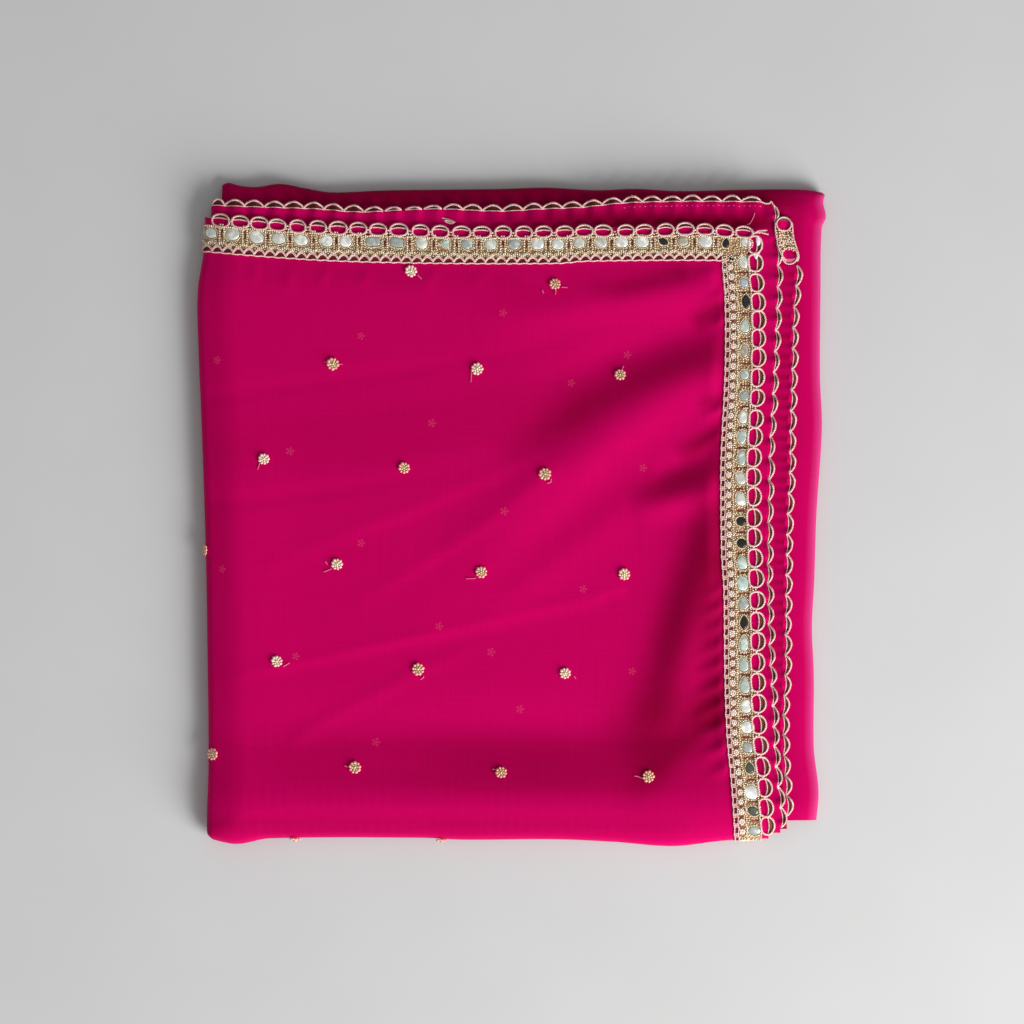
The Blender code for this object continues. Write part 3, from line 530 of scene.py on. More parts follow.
def eased(share):
    """A soft step from 0 to 1."""
    share = np.clip(share, 0, 1)
    return share * share * (3 - 2 * share)


def joined(a, b, sharpness=3.0):
    """The larger of two amounts, rounded where they are alike."""
    return (a**sharpness + b**sharpness) ** (1 / sharpness)


def pack_sink(x, y, layers_down=0):
    """How far a layer sinks as it nears the left fold and the front fold."""
    left = LEFT_SINK * fade(x - top_left(y), LEFT_SLOPE)
    front = FRONT_SINK * fade(y - top_front(x), FRONT_SLOPE)
    return joined(left, front) * (1 + SINK_GROWTH * layers_down)


def rim_sink(x, y):
    """How far the outer fold sinks towards its back and right edges."""
    back = RIM_SINK * fade(outer_back(x) - y, RIM_SLOPE)
    return joined(back, RIM_SINK * fade(outer_right(y) - x, RIM_SLOPE))


print("at its left fold the top layer lies", round(float(pack_sink(top_left(0), 0)), 1), "mm lower")

# %% [markdown]
# ## Folds and puckers
#
# A cloth that lies nearly flat shows its folds only as light and shade.  They could be pushed in
# with a sculpting brush, but a table can be read and changed.  Each main fold is one row: a bent
# line, how wide the fold is to either side, and how high it stands, or how deep it is if below 0.
# It dies away towards its end.  The CAD model has the large folds, and small creases join them.

# %% The folds of the top layer
# start x, y; middle x, y; end x, y; half width; height
FOLDS = (
    (99, 70, 42, 45, -32, -30, 14.0, 2.3), (99, 90, 52, 76, 4, 56, 9.0, -1.0),
    (99, 112, 48, 100, -20, 88, 11.0, 1.5), (99, 12, 79, 9, 56, 0, 7.0, 2.0),
    (98, 30, 84, 25, 66, 18, 5.0, -0.9), (97, -4, 80, -44, 72, -104, 12.0, 2.8),
    (88, -6, 74, -45, 64, -92, 9.0, -0.7), (60, 8, 22, -20, -24, -56, 8.0, 0.4),
    (-165, -136, 0, -130, 115, -136, 11.0, 1.2), (110, -99, 0, -100, -165, -104, 12.0, -1.0),
    (40, -40, -60, -62, -150, -80, 3.2, 0.30), (-100, -104, -60, -80, -8, -58, 4.0, 0.30),
    (-110, -22, -50, -2, 12, 26, 5.0, 0.16), (-70, -40, -24, -16, 22, 20, 5.0, 0.16),
    (-150, 54, -60, 66, 30, 80, 4.0, -0.25), (-160, 4, -90, 8, -10, 24, 4.0, -0.25),
    (84, 114, 64, 110, 42, 105, 5.0, -0.8), (84, 112, 88, 104, 95, 98, 5.0, 0.5),
    (-120, 122, -120, 114, -121, 108, 2.6, 0.3), (-103, 120, -104, 112, -106, 102, 3.2, 0.3),
    (-86, 119, -88, 112, -91, 106, 2.4, 0.3), (-66, 118, -68, 112, -72, 106, 3.0, 0.3),
    (-36, 117, -38, 110, -43, 104, 3.6, 0.35), (-12, 117, -14, 112, -18, 106, 2.8, 0.25),
)
print(len(FOLDS), "folds and creases")

# %% From rows to heights
FOLD_SAMPLES = 60
FULL_TO, DIES_OVER = 0.45, 0.55  # shares of a fold's length


def fold_line(row):
    """Points along a fold's line, each with the share of its height left there."""
    t = np.linspace(0, 1, FOLD_SAMPLES)[:, None]
    start, middle, end = np.array(row[:6], float).reshape(3, 2)
    line = (1 - t) ** 2 * start + 2 * t * (1 - t) * middle + t * t * end
    full = 1 - np.maximum(0.0, t[:, 0] - FULL_TO) / DIES_OVER
    return line, full * (2 - full)


def fold_height(x, y, rows=FOLDS):
    """The soft folds that rows describe: at each place, each one as its nearest point gives it."""
    total = np.zeros(np.shape(x))
    for row in rows:
        line, shares = fold_line(row)
        width, height = row[6:]
        near = np.full(np.shape(x), 1e9)
        share = np.zeros(np.shape(x))
        for (px, py), left in zip(line, shares):
            distance = np.hypot(x - px, y - py)
            closer = distance < near
            near, share = np.where(closer, distance, near), np.where(closer, left, share)
        total += height * share * np.exp(-((near / width) ** 2))
    return total


print("the fold at (42, 45) stands", round(float(fold_height(42.0, 45.0)), 1), "mm high")

# %% [markdown]
# The sewing gathers the cloth a little, so short puckers run in from the lace.  They are rows too.
# All these sums are slow, and are asked for many times.  So they are worked out once on a grid, and
# read smoothly between its points.

# %% Gathers beside the side lace
# y, reach to the left, height
GATHERS = (
    (104, 12, 1.0), (92, 12, 0.9), (50, 14, 1.0), (38, 12, 0.9), (-34, 12, 1.0), (-42.5, 14, 1.3),
    (-51, 12, 1.0), (-60, 16, 1.3), (-69, 18, 1.2), (-78.5, 20, 1.4), (-88, 20, 1.4), (-98, 18, 1.3),
    (-108, 16, 1.3), (-118, 14, 1.1),
)
GATHER_HALF_WIDTH, GATHER_SLANT, GATHER_START = 2.8, 0.45, 2.0


def gather_height(x, y):
    """Small ridges that run in from the side lace."""
    inward = side_inner(y) - x
    total = np.zeros(np.shape(x))
    for middle, reach, height in GATHERS:
        across = (y - middle + GATHER_SLANT * inward) / GATHER_HALF_WIDTH
        total += height * np.exp(-across * across) * fade(inward - GATHER_START, reach)
    return total * np.clip(inward / GATHER_START, 0, 1)


def free_of_lace(x, y, reach=7.0):
    """0 under the lace, which holds the cloth flat, and 1 well inside it."""
    return eased((side_inner(y) - x) / reach) * eased((back_inner(x) - y) / reach)


print(len(GATHERS), "gathers beside the side lace")

# %% Heights that are worked out once
class Relief:
    """A sum of folds, worked out once on a grid and read smoothly between its points."""

    def __init__(self, rule, reach=168.0, step=1.0):
        self.low, self.step = -reach, step
        places = np.arange(-reach, reach + step, step)
        self.values = rule(*np.meshgrid(places, places, indexing="ij"))

    def shares(self, position):
        """Which four grid lines a place lies between, and how much of each it takes."""
        last = len(self.values) - 3.001
        at = np.clip((np.asarray(position, float) - self.low) / self.step, 1, last)
        first = at.astype(int)
        t = at - first
        weights = ((1 - t) ** 3, 3 * t**3 - 6 * t**2 + 4, 3 * (t + t**2 - t**3) + 1, t**3)
        return [(first + k - 1, weight / 6) for k, weight in enumerate(weights)]

    def __call__(self, x, y):
        across, along = self.shares(x), self.shares(y)
        return sum(self.values[i, j] * u * v for i, u in across for j, v in along)


folds = Relief(lambda x, y: fold_height(x, y) * free_of_lace(x, y) + gather_height(x, y))
dips = Relief(lambda x, y: np.minimum(fold_height(x, y) * free_of_lace(x, y), 0.0))
print("the folds rise", round(folds.values.max(), 1), "mm and dip", round(-dips.values.min(), 1), "mm")


def top_height(x, y):
    """The top layer's upper surface, where it doesn't turn down."""
    return TOP_LEVEL - pack_sink(x, y) + folds(x, y)


# %% [markdown]
# ## A stretch of cloth
#
# A stretch knows its four edges.  At a folded edge the cloth turns down and under, round a roll
# of a known radius.  A bend modifier could turn one straight edge, but these edges wander, and the
# lace has to turn with them.  So every point of the cloth has a flat position (how far across, how
# far along), and `place` says where that point ends up.  Lace, beads and flowers use `lifted`,
# which moves such a point out from the surface, so they follow the cloth round its folds.


# %% Cloth positions to points
def past_fold(position, low, high, low_fold, high_fold):
    """How a cloth position turns at the nearer edge: (where it lay flat, way, turn, radius)."""
    lies, way, turn, roll = position, np.zeros_like(position), np.zeros_like(position), 0.0
    for edge, (radius, most), inward in ((low, low_fold, 1), (high, high_fold, -1)):
        if radius:
            depth = (position - edge) * inward
            lies = np.where(depth < radius, edge + inward * radius, lies)
            way = np.where(depth < radius, -inward, way)
            turn = np.where(depth < radius, np.minimum((radius - depth) / radius, most), turn)
            roll = max(roll, radius)
    return lies, way, turn, roll


# %% A stretch
class Stretch:
    """One stretch of the cloth: its edges, the level it lies at, and how its edges roll down.

    Each of left, right, front and back is (edge curve, roll radius, roll turn).  A radius of 0 is
    an edge that lies flat.
    """

    def __init__(self, height, left, right, front, back):
        self.height = height
        self.left, self.right, self.front, self.back = left, right, front, back

    def turned(self, a, b):
        """Where a cloth position ends up from above, which way it turns, and how far."""
        left, right, front, back = self.left, self.right, self.front, self.back
        x, way_x, turn_x, roll_x = past_fold(a, left[0](b), right[0](b), left[1:], right[1:])
        y, way_y, turn_y, roll_y = past_fold(b, front[0](a), back[0](a), front[1:], back[1:])
        both = np.maximum(np.hypot(turn_x, turn_y), 1e-9)
        way_x, way_y = way_x * turn_x / both, way_y * turn_y / both
        turn, roll = np.maximum(turn_x, turn_y), max(roll_x, roll_y)
        out = roll * np.sin(turn)
        return x + way_x * out, y + way_y * out, way_x, way_y, turn, roll

    def place(self, a, b):
        """The points of the outer surface at cloth positions (a, b)."""
        x, y, _, _, turn, roll = self.turned(a, b)
        return np.stack([x, y, self.height(x, y) - roll * (1 - np.cos(turn))], axis=-1)

    def normal(self, a, b, step=0.05):
        """The way out of the surface, of length 1."""
        x, y, way_x, way_y, turn, _ = self.turned(a, b)
        slope_x = (self.height(x + step, y) - self.height(x - step, y)) / (2 * step)
        slope_y = (self.height(x, y + step) - self.height(x, y - step)) / (2 * step)
        up = np.stack([-slope_x, -slope_y, np.ones_like(x)], axis=-1)
        up /= np.linalg.norm(up, axis=-1, keepdims=True)
        side = np.stack([way_x, way_y, np.zeros_like(x)], axis=-1)
        made = up * np.cos(turn)[..., None] + side * np.sin(turn)[..., None]
        return made / np.linalg.norm(made, axis=-1, keepdims=True)

    def lifted(self, a, b, offset):
        """Points that stand off the surface."""
        a, b = np.asarray(a, float), np.asarray(b, float)
        return self.place(a, b) + self.normal(a, b) * np.asarray(offset, float)[..., None]


# %% [markdown]
# The layers under the top one show only along the back and the right.  The lace puckers their
# hems, once for each scallop.

# %% Puckered hems
FLAT = (0.0, 0.0)
OUTER_LEFT_X, OUTER_FRONT_Y = -136.3, -143.9
PUCKER, PUCKER_REACH = 0.75, 14.0
BACK_PITCH, SECOND_PITCH, THIRD_PITCH = 9.34, 9.87, 9.6


def always(value):
    """A straight edge."""
    return lambda position: np.full(np.shape(position), float(value))


def pucker(along, inward, pitch):
    """Small waves square to a hem, which die away into the cloth."""
    wave = np.sin(2 * np.pi * along / pitch) + 0.4 * np.sin(1.3 * along + 2.0)
    return PUCKER * wave * fade(inward, PUCKER_REACH)


def second_height(x, y):
    """The second layer's upper surface, puckered along both hems."""
    hems = pucker(y, second_right(y) - x, SECOND_PITCH) + pucker(x, second_back(x) - y, BACK_PITCH)
    return SECOND_LEVEL - pack_sink(x, y, 1) + dips(x, y) + hems


def third_height(x, y):
    """The third layer's, puckered along its side hem."""
    return THIRD_LEVEL - pack_sink(x, y, 2) + pucker(y + 3, third_right(y) - x, THIRD_PITCH)


print("the second hem puckers every", SECOND_PITCH, "mm")

# %% The four stretches
TOP = Stretch(
    top_height,
    (top_left, TOP_ROLL, FOLD_TURN),
    (lambda y: side_inner(y) + HEM, *FLAT),
    (top_front, TOP_ROLL, FOLD_TURN),
    (lambda x: back_inner(x) + HEM, *FLAT),
)
SECOND = Stretch(
    second_height,
    (always(-141.4), SMALL_ROLL, HALF_TURN),
    (second_right, *FLAT),
    (always(-149.8), SMALL_ROLL, HALF_TURN),
    (second_back, *FLAT),
)
THIRD = Stretch(
    third_height,
    (always(-132.0), *FLAT),
    (third_right, *FLAT),
    (always(-148.0), SMALL_ROLL, HALF_TURN),
    (lambda x: second_back(x) - 3.0, *FLAT),
)
OUTER = Stretch(
    lambda x, y: OUTER_LEVEL - pack_sink(x, y, 3) - rim_sink(x, y),
    (always(OUTER_LEFT_X), *FLAT),
    (outer_right, OUTER_ROLL, OUTER_TURN),
    (always(OUTER_FRONT_Y), *FLAT),
    (outer_back, OUTER_ROLL, OUTER_TURN),
)
print("from the outer fold to the top layer:", round(TOP_LEVEL - OUTER_LEVEL, 1), "mm")

# %% [markdown]
# ## The sheets
#
# A sheet is a grid of cloth positions.  One even grid fine enough for a 3 mm roll would have
# millions of faces.  So rows and columns stand close together round a roll and near a puckered
# hem, and further apart where nothing shows.


# %% Grids of cloth
def shares(size, spacing, low_edge, high_edge, turns):
    """Shares of a size, from round its low fold to round its high fold."""
    (_, low, low_turn), (_, high, high_turn) = low_edge, high_edge
    parts = []
    if low:
        parts.append(np.linspace(low * (1 - low_turn), low, turns, endpoint=False))
    start, end = low, size - high
    parts.append(start + (end - start) * spacing)
    if high:
        parts.append(size - np.linspace(high, high * (1 - high_turn), turns + 1)[1:])
    return np.concatenate(parts) / size


def even(size, step):
    """A size in mm, and even shares of it, about a step apart."""
    return size, np.linspace(0, 1, max(2, round(size / step) + 1))


def closer_to_end(size, near, fine, coarse):
    """A size in mm, and shares of it that are coarse at first, and fine over the last stretch."""
    start = size - near
    first = np.linspace(0, start, round(start / coarse), endpoint=False)
    return size, np.concatenate([first, np.linspace(start, size, round(near / fine) + 1)]) / size


print("10 mm in steps of about 3 mm:", even(10, 3)[1].round(2).tolist())


# %% A sheet from a stretch
def grid_cells(columns, rows):
    """The four points of each cell of a grid whose points are numbered column by column."""
    index = np.arange(columns * rows).reshape(columns, rows)
    return np.stack([index[:-1, :-1], index[1:, :-1], index[1:, 1:], index[:-1, 1:]], axis=-1)


def used_only(cells):
    """The points that some cells use, and those cells with the points numbered anew."""
    used, renumbered = np.unique(cells, return_inverse=True)
    return used, renumbered.reshape(-1, 4).tolist()


def cloth_grid(stretch, across, along):
    """The cloth positions at shares across and along a stretch whose edges wander."""
    s, t = np.meshgrid(across, along, indexing="ij")
    a, b = s * 280 - 140, t * 290 - 150  # a first guess, which each round brings nearer
    for _ in range(4):
        left, right = stretch.left[0](b), stretch.right[0](b)
        a = left + (right - left) * s
        front, back = stretch.front[0](a), stretch.back[0](a)
        b = front + (back - front) * t
    return a, b


def sheet_piece(name, stretch, across, along, finish, turns, keep=None, **marks):
    """A sheet of cloth as one grid, with its faces upwards, and what its finish reads from it."""
    across = shares(*across, stretch.left, stretch.right, turns)
    along = shares(*along, stretch.front, stretch.back, turns)
    a, b = cloth_grid(stretch, across, along)
    points = stretch.place(a, b).reshape(-1, 3)
    cells = grid_cells(*a.shape)
    if keep is not None:
        cells = cells[keep(*((grid[:-1, :-1] + grid[1:, 1:]) / 2 for grid in (a, b)))]
    used, faces = used_only(cells.reshape(-1, 4))
    piece = mesh_piece(name, points[used], faces, finish)
    for label, rule in marks.items():
        mark(piece, label, rule(a, b).ravel()[used])
    print(name, "has", len(faces), "faces")
    return piece


# %% [markdown]
# The top layer's folds show more light and shade than its soft relief gives.  So a second table
# has rows like those of the folds, which paint shade into the colour along the dark sides of the
# folds.  Where an amount is below 0 it paints light.

# %% Painted shade and light on the top layer
# the same rows as for the folds, with an amount
SHADE_ROWS = (
    (99, 75, 50, 67, -8, 22, 9.0, 0.60), (99, 23, 79, 16, 54, 7, 6.5, 0.66),
    (97, -2, 77, -46, 58, -124, 12.5, 0.80), (98, -24, 95, -60, 96, -104, 8.0, 0.38),
    (90, -95, 80, -112, 48, -138, 8.0, 0.42), (96, -98, 95, -70, 97, -34, 8.0, 0.28),
    (98, -90, 76, -94, 34, -98, 13.0, 0.42), (96, 97, 90, 93, 84, 88, 4.8, 0.70),
    (100, 53, 94, 53, 86, 54, 4.0, 0.55), (99, 38, 90, 34, 76, 27, 5.2, 0.75),
    (78, 114, 58, 109, 34, 104, 4.8, 0.50), (0, 111, -80, 113, -160, 114, 7.0, 0.16),
    (86, 58, 52, 36, -20, -40, 9.0, -0.12), (84, 100, 50, 96, -30, 86, 8.0, -0.16),
    (52, -36, -40, -58, -130, -76, 2.6, -0.30), (12, 26, -50, -2, -110, -22, 3.2, -0.22),
    (22, 20, -24, -18, -70, -40, 3.2, -0.22), (50, -14, 10, -40, -50, -52, 12.0, -0.12),
    (-112, 24, -112, -40, -108, -100, 15.0, -0.10), (60, -118, 20, -118, -60, -116, 12.0, 0.26),
    (-165, -147, 0, -147, 125, -148, 6.0, 0.42),
)
# painted shade, in bands with a flat middle
FLAT_SHADE_ROWS = (
    (105, -118, 0, -120, -190, -112, 18.0, 0.27), (24, 52, -70, 32, -190, 25, 17.0, 0.14),
    (-138, 4, -138, -50, -137, -100, 8.0, 0.08),
)


def painted_crease_shade(x, y):
    """Painted shade along the top layer's folds, up to 0.95, and painted light below 0."""
    total = fold_height(x, y, SHADE_ROWS)
    for row in FLAT_SHADE_ROWS:
        total += row[7] * np.minimum(1, 2 * fold_height(x, y, ((*row[:7], 1.0),)) ** 2)
    return np.clip(total, -1, 0.95)


print("over the deepest fold:", round(float(painted_crease_shade(77.0, -46.0)), 2))

# %% The top layer
top_cloth = sheet_piece(
    "top_cloth", TOP, even(259.5, 1.1), even(287.0, 1.1), top_finish, turns=16,
    depth=painted_crease_shade,
    veil=lambda a, b: eased((np.minimum(a - top_left(b), b - top_front(a)) - 4) / 6),
)

# %% The layers under it
# painted shadow that the top layer's lace and loops cast along the second layer's back band
SECOND_SHADE_ROWS = (
    (118, 137.6, 60, 139.2, -25, 139.0, 4.6, 0.85),
    (-150, 137.6, -110, 137.6, -60, 137.6, 3.2, 0.35),
)


def second_painted_shade(a, b):
    """A little darker all over, painted shadow beside the lace above, painted shade in hem hollows."""
    hollow = pucker(b - 2.2, second_right(b) - a, SECOND_PITCH) / PUCKER
    return 0.16 + fold_height(a, b, SECOND_SHADE_ROWS) - 0.22 * hollow


def third_painted_shade(a, b):
    """Darker all over, and painted shade in the hollows of its puckered hem."""
    return 0.36 - 0.6 * pucker(b + 0.8, third_right(b) - a, THIRD_PITCH) / PUCKER


second_cloth = sheet_piece(
    "second_cloth", SECOND, even(262.5, 1.6), even(293.5, 1.6), cloth_finish, turns=6,
    depth=second_painted_shade,
)

CUT_CORNER_X, CUT_CORNER_Y = 121.0, 139.2  # its back right corner is turned over
across = closer_to_end(262.0, near=34, fine=1.6, coarse=20)
third_cloth = sheet_piece(
    "third_cloth", THIRD, across, even(289.0, 1.3), cloth_finish, turns=6,
    keep=lambda a, b: (a < CUT_CORNER_X) | (b < CUT_CORNER_Y), depth=third_painted_shade,
)

# %% [markdown]
# The outer fold is the lowest.  Along its right rim only two layers lie over the table, so a paler
# strip shows there, with a painted sheen along the very edge.  It could be a whole sheet, but what
# lies further in is hidden.  So it is an L.

# %% The outer fold
OUTER_INNER_X, OUTER_INNER_Y = 88.0, 106.0  # the L's inner sides
SHEER_START, SHEER_END = 4.4, 1.0  # from the right edge


def outer_painted_shade(a, b):
    """Painted shade: a little all over, most along the back strip, some at the right towards the back.
    """
    back = eased((140.0 - a) / 22) * eased((b - 143) / 3)
    corner = eased((139.5 - a) / 6) * eased((b - 50) / 50)
    return 0.25 + 0.2 * corner + back * (0.45 - 0.25 * eased((-95 - a) / 30))


def outer_sheer(a, b):
    """Paler near the right rim, where the table shows through, with a painted sheen at the edge."""
    inward = outer_right(b) - a
    strip = np.clip((SHEER_START - inward) / (SHEER_START - SHEER_END), 0, 1)
    return 0.10 * eased(strip * 3) + 0.60 * strip**1.5


outer_cloth = sheet_piece(
    "outer_cloth", OUTER, even(280.8, 1.5), even(297.4, 1.5), cloth_finish, turns=12,
    keep=lambda a, b: (a > OUTER_INNER_X) | (b > OUTER_INNER_Y),
    sheer=outer_sheer, depth=outer_painted_shade,
)

# %% [markdown]
# ## The layers that never show
#
# Twenty more layers lie inside, and only their folded rims show, low down at the sides.  Twenty
# sheets would be many faces for a few thin lines.  So they are one closed shape, lofted through
# rings that run round the packet, and each layer is a thin bulge of those rings.  Its underside is
# flat, because the packet rests on it.

# %% The rims of the hidden layers
FOLD_TUCK = 3.4  # the packs lie this far inside the fold that turns round them


def lower_left(y):
    """The left rim, which ends behind at the outer fold's."""
    share = eased((y - 128) / 14)
    return (top_left(y) + FOLD_TUCK) * (1 - share) + (OUTER_LEFT_X + 1) * share


def lower_front(x):
    """The front rim, which ends at the right at the outer fold's."""
    share = eased((x - 108) / 14)
    return (top_front(x) + FOLD_TUCK) * (1 - share) + (OUTER_FRONT_Y + 1) * share


print("the hidden layers are", round(float(outer_right(0) - lower_left(0))), "mm wide")

# %% Rings round the packet
RING_CORNER = 1.6
RING_POINTS = 90  # along each side


def ring(left, right, front, back, inset):
    """Points round a packet.  The inset from its four edges may differ from point to point."""
    inset = np.broadcast_to(inset, (4, RING_POINTS))
    cut = RING_CORNER + float(inset.mean())

    def corner(side, end, way_x, way_y):
        x, y = side(0.0), end(0.0)
        for _ in range(6):
            x, y = side(y) + way_x * cut, end(x) + way_y * cut
        return float(x), float(y)

    corners = (
        corner(left, front, 1, 1), corner(right, front, -1, 1),
        corner(right, back, -1, -1), corner(left, back, 1, -1),
    )
    sides = []
    for k, (edge, way) in enumerate(((front, 1), (right, -1), (back, -1), (left, 1))):
        run = np.linspace(corners[k][k % 2], corners[(k + 1) % 4][k % 2], RING_POINTS)
        line = edge(run) + way * inset[k]
        sides.append(np.stack([line, run] if k % 2 else [run, line], -1))
    return np.concatenate(sides)


def levelled(edges, inset, level):
    """A ring round the packet, at the height that a rule gives for each of its points."""
    flat = ring(*edges, inset)
    return np.column_stack([flat, np.broadcast_to(level(*flat.T), len(flat))])


# %% A closed shape through rings
def lofted(rings, skip=0):
    """Points and faces of a closed shape through rings, from the lowest to the highest."""
    count = len(rings[0])
    points = np.concatenate(rings + [[end.mean(0)] for end in (rings[0], rings[-1])])
    here = np.arange(count)
    after = (here + 1) % count
    faces = []
    for k in range(len(rings) - 1):
        low, high = k * count, (k + 1) * count
        faces += np.stack([low + here, low + after, high + after, high + here], -1).tolist()
    top = (len(rings) - 1) * count
    faces += [(b, a, len(points) - 2) for a, b in zip(here.tolist(), after.tolist())]
    faces += [(top + a, top + b, len(points) - 1) for a, b in zip(here.tolist(), after.tolist())]
    return points, [[index + skip for index in face] for face in faces]


# %% The folded layers
LAYER = 0.44  # from one folded layer to the next
RIM_HEIGHTS = (0.0, 0.4, 1.6, 2.4, 3.7)
RIM_INSETS = (1.6, 1.0, 1.4, 2.9, 3.4)
BULGE = 0.55  # how far a folded layer stands out
SHELF_INSETS, UPPER_INSETS = (4.6, 8.5, 15.0), (2.2, 7.0, 15.0)
UNDER_TOP = 2.9  # from the top layer down to the hidden ones
UNDER_OUTER = 1.5  # from the outer fold down to the shelf that carries it

lower_edges = (lower_left, outer_right, lower_front, outer_back)
around = np.linspace(0, 1, 4 * RING_POINTS).reshape(4, RING_POINTS)
rings = []
for z in np.arange(0, 3.71, LAYER / 6):
    layer = int(z / LAYER)
    bulge = BULGE * abs(math.sin(math.pi * z / LAYER)) ** 0.6
    sway = 0.22 * np.sin(2 * np.pi * around * (5 + 2 * layer) + 2.1 * layer)
    inset = np.interp(z, RIM_HEIGHTS, RIM_INSETS) - bulge + sway
    rings.append(levelled(lower_edges, inset, lambda x, y: z))
for inset in SHELF_INSETS:
    rings.append(levelled(lower_edges, inset, lambda x, y: OUTER.height(x, y) - UNDER_OUTER))
points, faces = lofted(rings)
print(len(rings), "rings below the outer fold")

# %% Their upper part, inside the outer fold
upper_edges = (
    lambda y: top_left(y) + FOLD_TUCK,
    always(OUTER_INNER_X - 2.5),
    lambda x: top_front(x) + FOLD_TUCK,
    always(OUTER_INNER_Y - 2.5),
)


def under_top(x, y):
    """The level of the hidden layers just under the top ones."""
    return TOP_LEVEL - pack_sink(x, y) - UNDER_TOP + dips(x, y)


rings = []
for z in np.arange(4.9, 7.5, LAYER / 3):
    inset = 0.9 - 0.6 * abs(math.sin(math.pi * z / LAYER))
    rings.append(levelled(upper_edges, inset, lambda x, y: np.minimum(z, under_top(x, y) - 0.4)))
rings += [levelled(upper_edges, inset, under_top) for inset in UPPER_INSETS]
upper_points, upper_faces = lofted(rings, len(points))
folded_layers = mesh_piece(
    "folded_layers", np.concatenate([points, upper_points]), faces + upper_faces, cloth_finish
)
print("folded_layers has", len(folded_layers.data.polygons), "faces")

# %% [markdown]
# ## Cords and beads, as patterns
#
# The lace is made of a few things that repeat hundreds of times: a cord of two twisted threads, a
# bead, a ring of beads.  An Array modifier copies only at even steps, and these follow wandering
# edges, so Geometry Nodes make them.  Each pattern below is a tree with named sizes.  It is given
# a path, some places or a patch of the lace, and what it makes becomes a plain mesh straight away,
# because a copy that is only an instance can't be exported.


# %% Lines as one base
def many(lines, rings=()):
    """Points and edges of several lines as one base.  A ring is a line that closes."""
    points, edges = [], []
    for group, closed in ((rings, True), (lines, False)):
        for line in group:
            first, count = len(points), len(line)
            points.extend(np.asarray(line).tolist())
            edges += [(first + k, first + k + 1) for k in range(count - 1)]
            if closed:
                edges.append((first + count - 1, first))
    return points, edges


# %% A pattern
class Pattern(Tree):
    """A Geometry Nodes tree with named sizes, in metres where they are lengths."""

    def __init__(self, name, **sizes):
        super().__init__(bpy.data.node_groups.new(name, "GeometryNodeTree"))
        face = self.node_tree.interface
        face.new_socket("Geometry", in_out="INPUT", socket_type="NodeSocketGeometry")
        for label, value in sizes.items():
            kind = "NodeSocketInt" if isinstance(value, int) else "NodeSocketFloat"
            face.new_socket(label, in_out="INPUT", socket_type=kind).default_value = value
        face.new_socket("Finish", in_out="INPUT", socket_type="NodeSocketMaterial")
        face.new_socket("Geometry", in_out="OUTPUT", socket_type="NodeSocketGeometry")
        self.group = self.node_tree.nodes.new("NodeGroupInput")

    def given(self, label):
        """One of the tree's own inputs."""
        return Wire(self, self.socket_of(self.group.outputs, label))

    def path(self, step):
        """The lines that the tree is given, as curves whose points lie a step apart."""
        path = self.add("GeometryNodeMeshToCurve", {"Mesh": self.given("Geometry")})
        sockets = {"Curve": path, "Length": self.given(step)}
        return self.add("GeometryNodeResampleCurve", sockets, mode="LENGTH")

    def strew(self, points, copied, scale, **more):
        """Ends the tree with a copy of something on each point."""
        sockets = {"Points": points, "Instance": copied, "Scale": scale, **more}
        return self.end(self.add("GeometryNodeInstanceOnPoints", sockets))

    def end(self, geometry):
        """Makes the instances real and gives them their finish."""
        real = self.add("GeometryNodeRealizeInstances", {"Geometry": geometry})
        smooth = self.add("GeometryNodeSetShadeSmooth", {"Geometry": real})
        sockets = {"Geometry": smooth, "Material": self.given("Finish")}
        done = self.add("GeometryNodeSetMaterial", sockets)
        result = self.node_tree.nodes.new("NodeGroupOutput")
        self.node_tree.links.new(done.socket, result.inputs["Geometry"])
        return self

    def make(self, name, base, finish, ups=None, shine=None, **sizes):
        """The plain mesh that the pattern makes on a base: points, edges, and faces if it has any."""
        points, edges, faces = (*base, ())[:3]
        piece = mesh_piece(name, points, list(faces), finish, edges)
        if ups is not None:
            mark(piece, "up", ups, "FLOAT_VECTOR")
        if shine is not None:
            mark(piece, "shine", shine)
        modifier = piece.modifiers.new(name, "NODES")
        modifier.node_group = self.node_tree
        for item in self.node_tree.interface.items_tree:
            if item.name in sizes:
                modifier[item.identifier] = sizes[item.name]
            elif item.name == "Finish":
                modifier[item.identifier] = finish
        ready = piece.evaluated_get(bpy.context.evaluated_depsgraph_get())
        made = bpy.data.meshes.new_from_object(ready)
        piece.modifiers.remove(modifier)
        before, piece.data = piece.data, made
        bpy.data.meshes.remove(before)
        made.name = name
        print(f"{name}: {len(made.polygons)} faces")
        return piece


